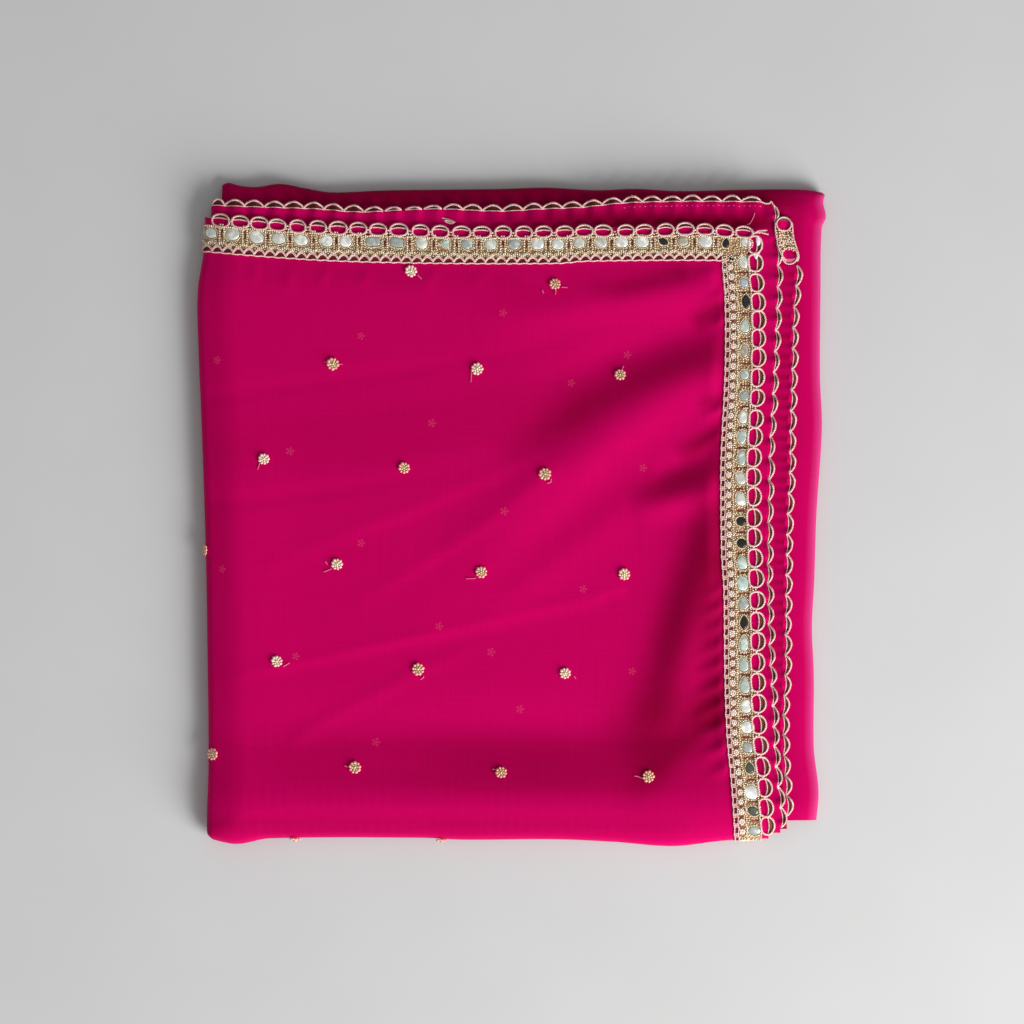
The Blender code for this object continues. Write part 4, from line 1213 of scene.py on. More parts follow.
# %% Twisted and plain cords
def cord_pattern(name, plies):
    """Threads that wind round a path.  One ply makes a plain round cord."""
    cord = Pattern(name, Ply=0.0003, Twist=0.00028, Turn=0.0016, Step=0.00036)
    path = cord.path("Step")
    ahead, up = cord.add("GeometryNodeInputTangent"), cord.add("GeometryNodeInputNormal")
    beside = ahead.vector("CROSS_PRODUCT", ahead, up)
    run = cord.add("GeometryNodeSplineParameter", output="Length")
    sockets = {"Resolution": 5 if plies == 1 else 4, "Radius": cord.given("Ply")}
    section = cord.add("GeometryNodeCurvePrimitiveCircle", sockets)
    threads = []
    for ply in range(plies):
        angle = run / cord.given("Turn") * (2 * math.pi) + 2 * math.pi * ply / plies
        sine, cosine = angle.math("SINE", angle), angle.math("COSINE", angle)
        round_it = up.vector("ADD", up.scaled(cosine), beside.scaled(sine))
        sockets = {"Geometry": path, "Offset": round_it.scaled(cord.given("Twist"))}
        thread = cord.add("GeometryNodeSetPosition", sockets)
        sockets = {"Curve": thread, "Profile Curve": section, "Fill Caps": True}
        threads.append(cord.add("GeometryNodeCurveToMesh", sockets))
    return cord.end(cord.add("GeometryNodeJoinGeometry", {"Geometry": threads}))


twisted = cord_pattern("twisted_cord", 2)
plain = cord_pattern("plain_cord", 1)
print("made", len(bpy.data.node_groups), "patterns")


# %% Beads along a path, and beads on a patch
def bead_of(pattern):
    """A small ball."""
    sockets = {"Segments": 6, "Rings": 4, "Radius": pattern.given("Bead")}
    return pattern.add("GeometryNodeMeshUVSphere", sockets, "Mesh")


def random_size(pattern, least, seed):
    """A different size for each copy, from a least share of the full size."""
    sockets = {"Min": least, "Max": 1.0, "Seed": seed}
    return pattern.add("FunctionNodeRandomValue", sockets, data_type="FLOAT")


def bead_row_pattern():
    """Beads on a thread, each at its own size."""
    row = Pattern("bead_row", Bead=0.00045, Pitch=0.001)
    return row.strew(row.path("Pitch"), bead_of(row), random_size(row, 0.8, 3))


def bead_fill_pattern():
    """Beads strewn over faces, as close as they can lie."""
    fill = Pattern("bead_fill", Bead=0.0005, Apart=0.0009)
    sockets = {"Mesh": fill.given("Geometry"), "Distance Min": fill.given("Apart")}
    sockets |= {"Density Max": 3e6, "Seed": 11}
    kind, method = "GeometryNodeDistributePointsOnFaces", "POISSON"
    places = fill.add(kind, sockets, "Points", distribute_method=method)
    return fill.strew(places, bead_of(fill), random_size(fill, 0.68, 5))


bead_row, bead_fill = bead_row_pattern(), bead_fill_pattern()
print("now", len(bpy.data.node_groups), "patterns")

# %% Flowers of beads, and stitches
FLOWER_FLATNESS = 0.62  # the height of a petal, as a share of its width


def bead_flower_pattern():
    """A ring of beads round a middle one, set on each given place, square to its `up`."""
    sizes = {"Bead": 0.0005, "Ring": 0.0012, "Petals": 6, "Middle": 1.0, "Least": 1.0, "Spin": 0.0}
    flower = Pattern("bead_flower", **sizes)
    sockets = {"Vertices": flower.given("Petals"), "Radius": flower.given("Ring")}
    petals = flower.add("GeometryNodeMeshCircle", sockets)
    bead = bead_of(flower)
    uneven = random_size(flower, flower.given("Least"), 4)
    flat = {0: (1.0, 1.0, FLOWER_FLATNESS), "Scale": uneven}
    flat = flower.add("ShaderNodeVectorMath", flat, operation="SCALE")
    sockets = {"Points": petals, "Instance": bead, "Scale": flat}
    petals = flower.add("GeometryNodeInstanceOnPoints", sockets)
    sockets = {"Geometry": bead, "Scale": flower.given("Middle")}
    middle = flower.add("GeometryNodeTransform", sockets)
    whole = flower.add("GeometryNodeJoinGeometry", {"Geometry": [petals, middle]})
    kind, vector = "GeometryNodeInputNamedAttribute", "FLOAT_VECTOR"
    up = flower.add(kind, {"Name": "up"}, "Attribute", data_type=vector)
    turn = flower.add("FunctionNodeAlignRotationToVector", {"Vector": up}, axis="Z")
    sockets = {"Min": (0.0, 0.0, 0.0), "Max": (0.0, 0.0, 1.0), "Seed": 8}
    spin = flower.add("FunctionNodeRandomValue", sockets, data_type=vector)
    sockets = {"Rotation": turn, "Rotate By": spin.scaled(flower.given("Spin"))}
    turn = flower.add("FunctionNodeRotateRotation", sockets, rotation_space="LOCAL")
    size = random_size(flower, 0.88, 9)
    return flower.strew(flower.given("Geometry"), whole, size, Rotation=turn)


def stitch_pattern():
    """Short stitches along a path, each a flat bead drawn out along it."""
    seam = Pattern("stitches", Bead=0.0005, Pitch=0.0026)
    ahead = seam.add("GeometryNodeInputTangent")
    turn = seam.add("FunctionNodeAlignRotationToVector", {"Vector": ahead}, axis="X")
    size = random_size(seam, 0.7, 4)
    stretched = size.vector("MULTIPLY", size, (1.6, 0.5, 0.4))
    return seam.strew(seam.path("Pitch"), bead_of(seam), stretched, Rotation=turn)


bead_flower, stitches = bead_flower_pattern(), stitch_pattern()
print("and", len(bpy.data.node_groups), "in all")

# %% [markdown]
# ## Places on the lace
#
# The lace is a straight braid, sewn along an edge that wanders.  It could be made straight and
# bent along a curve, but then it wouldn't follow the folds of the cloth.  So each thing on it has a
# place: how far along it lies, and how far out from the lace's inner edge.  `on_lace` turns such
# places into points on the top layer, lifted by a given amount.  The loops reach past the hem of
# that layer, so their tips hang a little, onto the layer below.

# %% Lace places
BAND_WIDTH = 12.4
BACK_END, SIDE_END = 110.9, 120.6
LACE_TURN = math.radians(125)  # how far the lace's ends go round the folds
LOOP_DROOP = 0.9
BACK_START = float(top_left(132.0)) + TOP_ROLL * (1 - LACE_TURN)
SIDE_START = float(top_front(110.0)) + TOP_ROLL * (1 - LACE_TURN)
# the back lace was stretched a little where it was sewn on, so it is narrower: x, share of width
BACK_WIDTHS = (
    (-150, 1.0), (-60, 1.0), (-20, 0.965), (20, 0.955), (35, 0.93), (46, 0.905), (62, 0.905),
    (75, 0.94), (90, 0.94), (100, 0.925), (111, 0.905),
)
back_width = curve_through(BACK_WIDTHS)


def lace_place(side, along, out):
    """The cloth position of a place on the lace."""
    along, out = np.broadcast_arrays(np.asarray(along, float), np.asarray(out, float))
    if side:
        return side_inner(along) + out, along
    return along, back_inner(along) + out * back_width(along)


def on_lace(side, along, out, lift):
    """Points that stand off the lace by a lift."""
    a, b = lace_place(side, along, out)
    past_hem = (a - side_inner(along) if side else b - back_inner(along)) - HEM
    droop = LOOP_DROOP * np.clip((past_hem - 0.6) / 2.0, 0, 1)
    start = SIDE_START if side else BACK_START
    flat = np.clip((np.asarray(along) - start - 2 * TOP_ROLL) / 2, 0, 1)
    return TOP.lifted(a, b, lift - droop * flat)


def run_of(side):
    """Where the lace starts and ends."""
    return (SIDE_START, SIDE_END) if side else (BACK_START, BACK_END)


for label, side in (("back", False), ("side", True)):
    start, end = run_of(side)
    print("the", label, "lace shows for", round(end - start), "mm")

# %% [markdown]
# ## Mirrors
#
# The mirrors are cut by hand, so no two are alike.  One glass at even steps would look like a
# machine's work.  So a table gives each one's place, shape, size, turn and tone.  The tone is a
# painted reflection: a mirror that faces something dark looks black.  Each is a thin glass with a
# bevelled rim, set a little askew, and a ring of small beads holds it.

# %% The mirrors: along, out, shape, width, height, turn in degrees, tone (a painted reflection)
BACK_MIRRORS = (
    (-141.0, 9.0, "round", 5.0, 5.0, 0, "white"), (-130.9, 9.3, "round", 7.0, 5.6, -28, "pale"),
    (-119.6, 8.9, "round", 6.8, 5.8, 8, "white"), (-109.4, 8.9, "round", 6.6, 5.2, -6, "pale"),
    (-98.9, 8.9, "round", 6.6, 5.0, 4, "white"), (-86.8, 9.3, "round", 5.8, 5.8, 0, "white"),
    (-77.9, 9.4, "round", 5.8, 5.4, 0, "white"), (-65.1, 9.6, "square", 6.8, 4.2, -4, "grey"),
    (-53.8, 9.6, "square", 6.4, 4.4, 6, "grey"), (-42.1, 9.6, "round", 5.8, 5.6, 0, "pale"),
    (-30.9, 9.4, "triangle", 6.2, 5.6, 30, "green"), (-20.9, 9.6, "hexagon", 6.0, 5.4, 0, "grey"),
    (-9.9, 9.6, "round", 5.8, 5.6, 0, "pale"), (1.6, 9.6, "drop", 6.0, 6.0, 80, "grey"),
    (12.3, 9.6, "round", 6.2, 5.4, 0, "white"), (21.7, 9.5, "round", 6.0, 5.2, 12, "white"),
    (31.7, 9.5, "hexagon", 5.8, 5.6, 10, "pale"), (42.0, 9.5, "round", 5.8, 5.6, 0, "pale"),
    (51.7, 9.6, "round", 6.2, 5.8, 0, "white"), (61.3, 9.7, "round", 6.6, 6.0, 0, "white"),
    (71.2, 9.5, "marquise", 3.0, 4.8, -58, "black"), (80.5, 9.4, "round", 5.2, 4.6, 0, "tan"),
    (90.9, 9.6, "round", 6.6, 6.4, 0, "bright"), (100.6, 9.2, "drop", 3.4, 4.6, 8, "black"),
)
# the last two, in rose, are no mirrors but painted highlights in the first side loops
SIDE_MIRRORS = (
    (127.6, 11.4, "round", 5.4, 4.0, 32, "white"), (118.6, 9.9, "round", 4.6, 6.0, -8, "white"),
    (108.8, 9.6, "round", 3.8, 4.0, 0, "blue"), (99.9, 9.9, "marquise", 3.6, 6.6, 2, "black"),
    (88.6, 9.2, "drop", 4.6, 6.4, 0, "green"), (76.8, 9.0, "round", 3.4, 6.0, 0, "tan"),
    (65.6, 9.3, "round", 4.2, 4.4, 0, "green"), (55.7, 9.8, "round", 4.6, 4.6, 0, "grey"),
    (45.8, 9.6, "drop", 4.6, 6.2, 0, "white"), (36.0, 9.6, "drop", 4.8, 6.6, 180, "green"),
    (26.6, 10.0, "round", 4.0, 7.2, 2, "green"), (17.2, 9.5, "drop", 5.2, 6.2, -24, "white"),
    (7.3, 9.5, "drop", 5.4, 6.8, -24, "white"), (-3.1, 9.6, "round", 4.4, 3.9, 0, "black"),
    (-13.4, 9.7, "round", 4.3, 4.1, 0, "black"), (-22.6, 9.6, "drop", 5.4, 6.4, -10, "green"),
    (-32.2, 9.2, "round", 5.6, 7.0, 8, "green"), (-41.5, 9.2, "drop", 5.6, 5.8, -14, "grey"),
    (-50.7, 9.4, "marquise", 3.4, 6.6, 2, "black"), (-60.4, 9.3, "drop", 4.6, 7.2, 0, "green"),
    (-70.3, 9.0, "drop", 5.2, 7.0, -8, "green"), (-80.1, 9.4, "drop", 5.4, 7.6, -4, "green"),
    (-90.0, 9.8, "round", 5.2, 6.4, 0, "white"), (-99.9, 9.7, "round", 5.6, 5.6, 0, "bright"),
    (-109.3, 9.6, "square", 4.6, 4.6, 10, "grey"), (-118.7, 9.4, "drop", 4.2, 5.2, 0, "dark"),
    (-130.4, 9.2, "round", 6.6, 6.4, 0, "bright"), (-139.1, 9.4, "round", 5.0, 3.8, 20, "dark"),
    (-148.3, 9.6, "round", 5.8, 3.8, 0, "grey"), (128.6, 17.0, "round", 2.3, 4.6, 0, "rose"),
    (122.0, 15.9, "triangle", 4.2, 4.4, 60, "rose"),
)

# %% The outline of a mirror
# painted reflections: how light or dark each mirror looks, as from what it faces
REFLECTION_TONES = {
    "bright": (1.0, 1.0, 0.96), "white": (0.92, 0.93, 0.86), "pale": (0.80, 0.80, 0.70),
    "rose": (1.0, 0.86, 0.90), "grey": (0.50, 0.54, 0.50), "green": (0.62, 0.72, 0.64),
    "blue": (0.60, 0.68, 0.76), "tan": (0.58, 0.52, 0.42), "dark": (0.10, 0.12, 0.09),
    "black": (0.018, 0.02, 0.016),
}
MIRROR_POINTS = 24


def rotated(x, y, degrees):
    """Places turned clockwise round their origin."""
    c, s = math.cos(math.radians(degrees)), math.sin(math.radians(degrees))
    return x * c + y * s, y * c - x * s


def mirror_outline(shape, width, height, turn, grow=0.0):
    """The outline of a mirror round its own middle, in the plane of the cloth."""
    angle = 2 * np.pi * np.arange(MIRROR_POINTS) / MIRROR_POINTS
    x, y = np.sin(angle), np.cos(angle)
    if shape == "drop":
        x = x * np.sin(angle / 2) ** 0.6 * 1.06
    elif shape == "marquise":
        x = x * np.abs(x) ** 0.6
    elif shape == "square":
        x, y = np.sign(x) * np.abs(x) ** 0.55, np.sign(y) * np.abs(y) ** 0.55
    elif shape in ("hexagon", "triangle"):
        part = 2 * np.pi / (6 if shape == "hexagon" else 3)
        radius = np.cos(part / 2) / np.cos(angle % part - part / 2)
        radius = radius * 0.8 + 0.2
        x, y = x * radius, y * radius
    x, y = x * (width / 2 + grow), y * (height / 2 + grow)
    return rotated(x, y, turn)


def mirror_points(side, row, share, lift, grow=0.0):
    """Points of a mirror's outline, drawn in by a share, on the lace."""
    along, out, shape, width, height, turn, _ = row
    x, y = mirror_outline(shape, width, height, turn, grow)
    step_along, step_out = (y, x) if side else (x, y)
    return on_lace(side, along + step_along * share, out + step_out * share, lift)


print(len(BACK_MIRRORS), "mirrors behind,", len(SIDE_MIRRORS), "at the side, in", len(REFLECTION_TONES), "tones")

# %% Glass and bead rings
MIRROR_RINGS = ((1.0, 0.20), (1.0, 0.62), (0.90, 0.80), (0.45, 0.86))  # share of the size, lift
ASKEW = 0.05  # how far a glass tips, as a slope
RING_GROWTH, RING_LIFT = 0.5, 0.55
points, faces, tones, rings_round = [], [], [], []
for side, rows in ((False, BACK_MIRRORS), (True, SIDE_MIRRORS)):
    for row in rows:
        skew = CHANCE.normal(0, ASKEW, 2)
        x, y = mirror_outline(*row[2:6])
        rings = []
        for share, lift in MIRROR_RINGS:
            askew = (skew[0] * x + skew[1] * y) * share * (lift > 0.5)
            rings.append(mirror_points(side, row, share, lift + askew))
        made, cells = lofted(rings, len(points))
        if side:
            cells = [cell[::-1] for cell in cells]
        points.extend(made.tolist())
        faces += [cell[::-1] for cell in cells]
        tones += [(*REFLECTION_TONES[row[6]], 1.0)] * len(made)
        if row[6] != "rose":
            rings_round.append(mirror_points(side, row, 1.0, RING_LIFT, RING_GROWTH))
mirrors = mesh_piece("mirrors", points, faces, glass_finish)
mark(mirrors, "tone", tones, "FLOAT_COLOR")
mirror_beads = bead_row.make(
    "mirror_beads", many([], rings_round), bead_finish, Bead=0.00043, Pitch=0.00082
)
print(len(rings_round), "rings of beads")

# %% [markdown]
# ## The braid
#
# Under the beads lies a fine net.  Where it shows, at the inner edge and in the gaps, it is dark
# maroon: painted shade of the cloth under the lace.  On the back edge, two rows of cord cross each
# other in arcs along the inner edge.  On the side edge, short bars make a ladder there, and a row of
# rosettes follows it.  The rest is thread crochet, which looks like beads set close and at random
# from a step away.  Each stitch could be a loop of cord, but there are thousands, and beads of a few
# faces give the same glitter.

# %% Where the net shows, painted dark with shade
LADDER = 4.65  # along, from one hole of the side braid to the next
LADDER_START, ROSETTE_START = SIDE_START + 1.35, SIDE_START + 3.08
ROSETTE_ROW, ROSETTE_RADIUS = 3.85, 1.6
SLOT_OUT = 9.4  # how far out the gaps between the mirrors lie
SLOT_HALF = {False: (0.6, 2.0), True: (0.6, 2.9)}  # half their size, along and out, by side


def slots_of(side):
    """The dark gaps between neighbouring mirrors, as places along the lace."""
    rows = SIDE_MIRRORS if side else BACK_MIRRORS
    places = sorted(row[0] for row in rows if row[6] != "rose")
    return [(low + high) / 2 for low, high in zip(places, places[1:])]


def past_rosette(along):
    """How far along a place is from the nearest rosette."""
    return (along - ROSETTE_START + LADDER / 2) % LADDER - LADDER / 2


def shaded_net_shows(side, along, out):
    """True in the dark gaps between mirrors, and between rosettes, where the net shows painted shade.
    """
    wide, tall = SLOT_HALF[side]
    shows = np.zeros(along.shape, bool)
    for slot in slots_of(side):
        shows |= np.hypot((along - slot) / wide, (out - SLOT_OUT) / tall) < 1
    if side:
        between = np.abs(past_rosette(along)) > LADDER / 2 - 0.55
        shows |= between & (np.abs(out - ROSETTE_ROW) < 0.85)
    return shows


for side in (False, True):
    print(len(slots_of(side)), "gaps between mirrors")

# %% The net
NET_LIFT, NET_STEP, NET_COLUMNS = 0.14, 0.6, 22


def net_piece(name, side):
    """The net under one lace, close on the cloth: maroon painted shade where no beads lie."""
    start, end = run_of(side)
    along = np.linspace(start, end, round((end - start) / NET_STEP))
    out = np.linspace(0.25, BAND_WIDTH - 0.3, NET_COLUMNS)
    along, out = np.meshgrid(along, out, indexing="ij")
    points = on_lace(side, along, out, NET_LIFT).reshape(-1, 3)
    cells = grid_cells(*along.shape).reshape(-1, 4)
    faces = cells[:, ::-1] if side else cells
    piece = mesh_piece(name, points, faces.tolist(), net_and_shade_finish)
    edge, width = (2.2, 0.8) if side else (2.4, 1.2)  # where the beads begin
    # maroon where the beads end and in the gaps: painted shade of the cloth under the lace
    beaded = eased((out - edge) / width) * np.where(shaded_net_shows(side, along, out), 0.12, 1.0)
    mark(piece, "beaded", beaded.ravel())
    print(name, "has", len(cells), "faces")
    return piece


net_back, net_side = net_piece("net_back", False), net_piece("net_side", True)

# %% Lines along the lace
LATTICE = 4.93  # along, from one hole of the back braid to the next
CORNER_X = 98.8  # past it, the back braid turns into the side braid
EDGE_CORD = {"Ply": 0.00025, "Twist": 0.00019, "Turn": 0.0016}
FINE_CORD = {"Ply": 0.00021, "Twist": 0.00016, "Turn": 0.0014}


def line_on_lace(side, out, lift, step=0.5, end=None):
    """A line along the lace, whose distance out is a number or follows a rule."""
    first, last = run_of(side)
    along = np.arange(first, last if end is None else end, step)
    return on_lace(side, along, out(along) if callable(out) else np.full(len(along), out), lift)


def peaks(phase, low, high, sharpness=0.85):
    """A row of pointed arcs, one for each hole, as distances out."""
    return lambda u: low + (high - low) * np.abs(np.cos(np.pi * (u - phase) / LATTICE)) ** sharpness


def wavy(middle, height, pitch):
    """A row of soft waves, as distances out."""
    return lambda u: middle + height * np.sin(2 * np.pi * u / pitch)


# %% Cords of the braid
back_cords = [
    line_on_lace(False, wavy(0.15, 0.15, LATTICE), 0.45, end=CORNER_X),
    line_on_lace(False, peaks(0.0, 0.55, 2.9), 0.60, 0.35, end=CORNER_X),
    line_on_lace(False, peaks(0.0, 1.15, 3.55), 0.70, 0.35, end=CORNER_X),
]
side_cords = [
    line_on_lace(True, wavy(0.12, 0.14, LADDER), 0.45),
    line_on_lace(True, wavy(2.0, 0.12, LADDER), 0.45),
]
for u in np.arange(LADDER_START, SIDE_END, LADDER):
    for offset in (-0.62, 0.0, 0.62):
        rung = np.linspace(0.1, 2.1, 5)
        bow = offset * (1.0 + 0.3 * np.abs(rung - 1.1))
        side_cords.append(on_lace(True, u + bow, rung, 0.42))
cords_back = twisted.make("braid_cords_back", many(back_cords), cord_finish, **EDGE_CORD)
cords_side = twisted.make("braid_cords_side", many(side_cords), cord_finish, **FINE_CORD)


# %% Beads of the braid
def outside_mirrors(side, along, out, margin=0.7):
    """True for the places that no mirror and no ring of beads covers."""
    free = np.ones(along.shape, bool)
    for u, v, _, width, height, turn, _ in SIDE_MIRRORS if side else BACK_MIRRORS:
        x, y = rotated(*((out - v, along - u) if side else (along - u, out - v)), -turn)
        free &= (x / (width / 2 + margin)) ** 2 + (y / (height / 2 + margin)) ** 2 > 1
    return free


def bead_patch(side, inner, outer, lift):
    """The part of the braid that is filled with beads, as faces."""
    start, end = run_of(side)
    along, out = np.meshgrid(np.arange(start, end, 0.5), np.arange(0.3, outer, 0.5), indexing="ij")
    u, v = along[:-1, :-1] + 0.25, out[:-1, :-1] + 0.25  # the middle of each cell
    keep = outside_mirrors(side, u, v)
    keep &= (v > inner + 0.3) | (u > CORNER_X)
    keep &= ~shaded_net_shows(side, u, v)
    if side:
        keep &= np.hypot(past_rosette(u), v - ROSETTE_ROW) > ROSETTE_RADIUS
    points = on_lace(side, along, out, lift).reshape(-1, 3)
    used, faces = used_only(grid_cells(*along.shape)[keep])
    return points[used], [], faces


beads_back = bead_fill.make("braid_beads_back", bead_patch(False, 2.9, 12.3, 0.45), bead_finish)
beads_side = bead_fill.make("braid_beads_side", bead_patch(True, 2.2, 12.5, 0.45), bead_finish)

# %% Where the loops stand
LOOPS_BACK = (
    -136.4, -127.3, -118.4, -110.0, -100.4, -90.9, -81.4, -72.0, -62.7, -52.9, -42.8,
    -33.5, -23.5, -13.9, -4.0, 5.7, 15.0, 24.8, 34.1, 43.0, 53.6, 62.2, 72.2, 81.5, 90.7, 99.9,
    109.2,
)
LOOPS_SIDE = (
    126.7, 118.2, 108.9, 99.7, 91.4, 82.8, 73.8, 64.4, 54.9, 45.0, 36.5, 26.9, 17.7, 8.5, -1.4,
    -10.6, -20.3, -29.8, -40.2, -50.1, -59.5, -69.3, -78.7, -88.6, -98.5, -108.3, -118.2, -128.1,
    -137.5, -145.9,
)
print(len(LOOPS_BACK), "loops behind and", len(LOOPS_SIDE), "at the side")

# %% Rows of beads
ROW_LIFT = 0.75
FOOT = np.array([1.25, 0.8, 0.4, 0.12])  # two loops' feet draw together, from the braid outwards

posts = []
for slot in slots_of(False):
    for way in (-1, 1):
        out = np.arange(4.9, 13.6, 0.5)
        along = slot + way * (1.05 - 0.5 * eased((out - 11.2) / 2.2))
        keep = outside_mirrors(False, along, out, 0.25)
        if keep.sum() > 8:
            posts.append(on_lace(False, along[keep], out[keep], ROW_LIFT))
for side, middles in ((False, sorted(LOOPS_BACK)), (True, sorted(LOOPS_SIDE))):
    for low, high in zip(middles, middles[1:]):
        for way in (-1, 1):
            along = (low + high) / 2 + way * FOOT
            posts.append(on_lace(side, along, np.linspace(12.5, 15.1, 4), 0.72))
rails = [
    line_on_lace(False, peaks(LATTICE / 2, 3.2, 4.6, 1.0), 0.7, 0.35, end=CORNER_X),
    line_on_lace(False, peaks(LATTICE / 2, 3.9, 5.3, 1.0), ROW_LIFT, 0.35, end=CORNER_X),
    line_on_lace(False, wavy(12.2, 0.3, 9.6), ROW_LIFT),
    line_on_lace(True, wavy(12.5, 0.25, 9.4), ROW_LIFT),
    line_on_lace(True, wavy(5.9, 0.25, LADDER), 0.7),
]
braid_rows = bead_row.make("braid_rows", many(posts + rails), bead_finish, Bead=0.00052, Pitch=0.00105)

# %% The rosettes
rosette_along = np.arange(ROSETTE_START, SIDE_END, LADDER)
rosette_places = on_lace(True, rosette_along, ROSETTE_ROW, 0.6)
rosette_ups = TOP.normal(*lace_place(True, rosette_along, ROSETTE_ROW))
rosettes = bead_flower.make(
    "rosettes", (rosette_places, []), pearl_finish, rosette_ups,
    Bead=0.00062, Ring=0.00108, Petals=7,
)

# %% [markdown]
# ## Loops and scallops
#
# A cord runs along the lace's outer edge in loops: round outside, with legs that run straight to
# the braid.  The hem of the cloth crosses them half way.  A circle would be simpler, and look like
# a row of rings, so each loop is a curve whose inner half is squarer than its outer half.  They are
# hand work, so each differs a little in width, height and place.
#
# On the two layers below, the same border lies wrong side up under its own cloth, so only the
# tips of its loops peep out past the hem: they look like scallops.  A strip of cloth reaches to
# the hem inside each loop, and dark net fills the rest; its darkness is partly painted shade of the
# layer below.


# %% Ribbons
def ribbons(name, pairs, finish, **marks):
    """Narrow strips, each between two lines with as many points, as one piece."""
    points, faces = [], []
    for inner, outer in pairs:
        first, count = len(points), len(inner)
        points.extend(inner.tolist() + outer.tolist())
        step = np.arange(first, first + count - 1)
        faces += np.stack([step, step + 1, step + count + 1, step + count], -1).tolist()
    piece = mesh_piece(name, points, faces, finish)
    for label, value in marks.items():
        mark(piece, label, np.full(len(points), value))
    return piece


# %% The loops
LOOP_CORD = {"Ply": 0.00033, "Twist": 0.00025, "Turn": 0.0019, "Step": 0.00040}
LOOP_ANGLES = np.linspace(0, 2 * np.pi, 40, endpoint=False)
LEGS = {False: 0.78, True: 0.6}  # the nearer 0, the straighter, on the back and the side lace
CRESCENT = np.linspace(-1, 1, 11)  # across a loop or a scallop
HEM_BOW = 0.75  # how far the hem bows out in a loop
HEM_SHARE = 0.96  # how much of a loop's width the hem crosses


def loop_set(side, middles, wide, tall, out):
    """A row of loops: cords, hems across them, cloth short of each hem, painted-shade net past it."""
    sway, swing = np.cos(LOOP_ANGLES), np.sin(LOOP_ANGLES)
    legs = swing < 0
    sway = np.where(legs, np.sign(sway) * np.abs(sway) ** LEGS[side], sway)
    swing = np.where(legs, -0.9 * np.abs(swing) ** 0.85, swing)
    cords, hems, cloths, nets = [], [], [], []
    for middle in middles:
        a, b, c, d = CHANCE.normal(0, 0.12, 4)
        half, height, centre = wide + a, tall + b, out + c
        cords.append(on_lace(side, middle + half * sway, centre + height * swing, 0.75))
        along = middle + half * HEM_SHARE * CRESCENT
        bow = HEM + (HEM_BOW + d) * (1 - CRESCENT**2) + (c + 0.5 * d) * CRESCENT
        far = np.maximum(centre + height * np.sqrt(1 - (HEM_SHARE * CRESCENT) ** 2), bow)
        hems.append(on_lace(side, along, bow, 0.32))
        nets.append((on_lace(side, along, bow, 0.16), on_lace(side, along, far, 0.3)))
        cloths.append((on_lace(side, along, HEM - 0.3, 0.08), on_lace(side, along, bow, 0.18)))
    return cords, hems, cloths, nets


back_set = loop_set(False, LOOPS_BACK, 3.95, 3.05, 15.3)
side_set = loop_set(True, LOOPS_SIDE, 4.25, 3.5, 15.5)
loops_back = twisted.make("loops_back", many([], back_set[0]), cord_finish, **LOOP_CORD)
loops_side = twisted.make("loops_side", many([], side_set[0]), cord_finish, **LOOP_CORD)
loop_hems = twisted.make("loop_hems", many(back_set[1] + side_set[1]), cord_finish, **FINE_CORD)
# the cloth strips carry a little painted shade, and the dark nets are painted shade of the layer below
loop_cloths = ribbons("loop_cloths", back_set[2] + side_set[2], cloth_finish, depth=0.1, sheer=0.0)
loop_nets_and_shade = ribbons("loop_nets_and_shade", back_set[3] + side_set[3], shade_gap_finish, beaded=0.05)

# %% A row of scallops
SCALLOP_CORD = {"Ply": 0.00032, "Twist": 0.00025, "Turn": 0.0018}
THIN_CORD = {"Ply": 0.00016, "Twist": 0.00011, "Turn": 0.0012}
UNEVEN = 0.15
FLAT_REACH = 17  # how far along the hem its scallops are turned in
NOWHERE = -999.0


def scallop_set(point, cusps, low_reach, high_reach, bow, flattest=NOWHERE):
    """Arcs from cusp to cusp.  point(along, out, lift) is a place beside the hem."""
    cords, hems, cloths, nets = [], [], [], []
    reaches = np.linspace(low_reach, high_reach, len(cusps) - 1)
    for first, last, reach in zip(cusps, cusps[1:], reaches):
        first, last = first + CHANCE.normal(0, UNEVEN), last + CHANCE.normal(0, UNEVEN)
        turned_in = math.exp(-((((first + last) / 2 - flattest) / FLAT_REACH) ** 2))
        reach = (reach + CHANCE.normal(0, UNEVEN)) * (1 - 0.55 * turned_in)
        half = (last - first) / 2 * (1 - 0.16 * turned_in)
        along = (first + last) / 2 + half * CRESCENT
        rise = np.cos(np.pi / 2 * CRESCENT) ** 0.75
        hem = 0.3 + bow * reach * rise
        cords.append(point(along, 0.55 - 0.25 * turned_in + reach * rise, -0.3))
        hems.append(point(along, hem, -0.08))
        under_hem = point(along, 0.1 + bow * reach * rise, -0.32)
        nets.append((under_hem, point(along, 0.6 + reach * rise, -0.45)))
        cloths.append((point(along, -0.6, 0.06), point(along, hem, -0.14)))
    return cords, hems, cloths, nets


def beside(stretch, edge, side):
    """A rule that gives the places beside a stretch's back or side hem."""

    def point(along, out, lift):
        a, b = (edge(along) + out, along) if side else (along, edge(along) + out)
        return stretch.lifted(a, b, lift)

    return point


def cusps_at(numbers, places):
    """Cusps one by one, evenly spaced between the few whose places are given."""
    return np.interp(np.arange(numbers[0], numbers[-1] + 1), numbers, places)


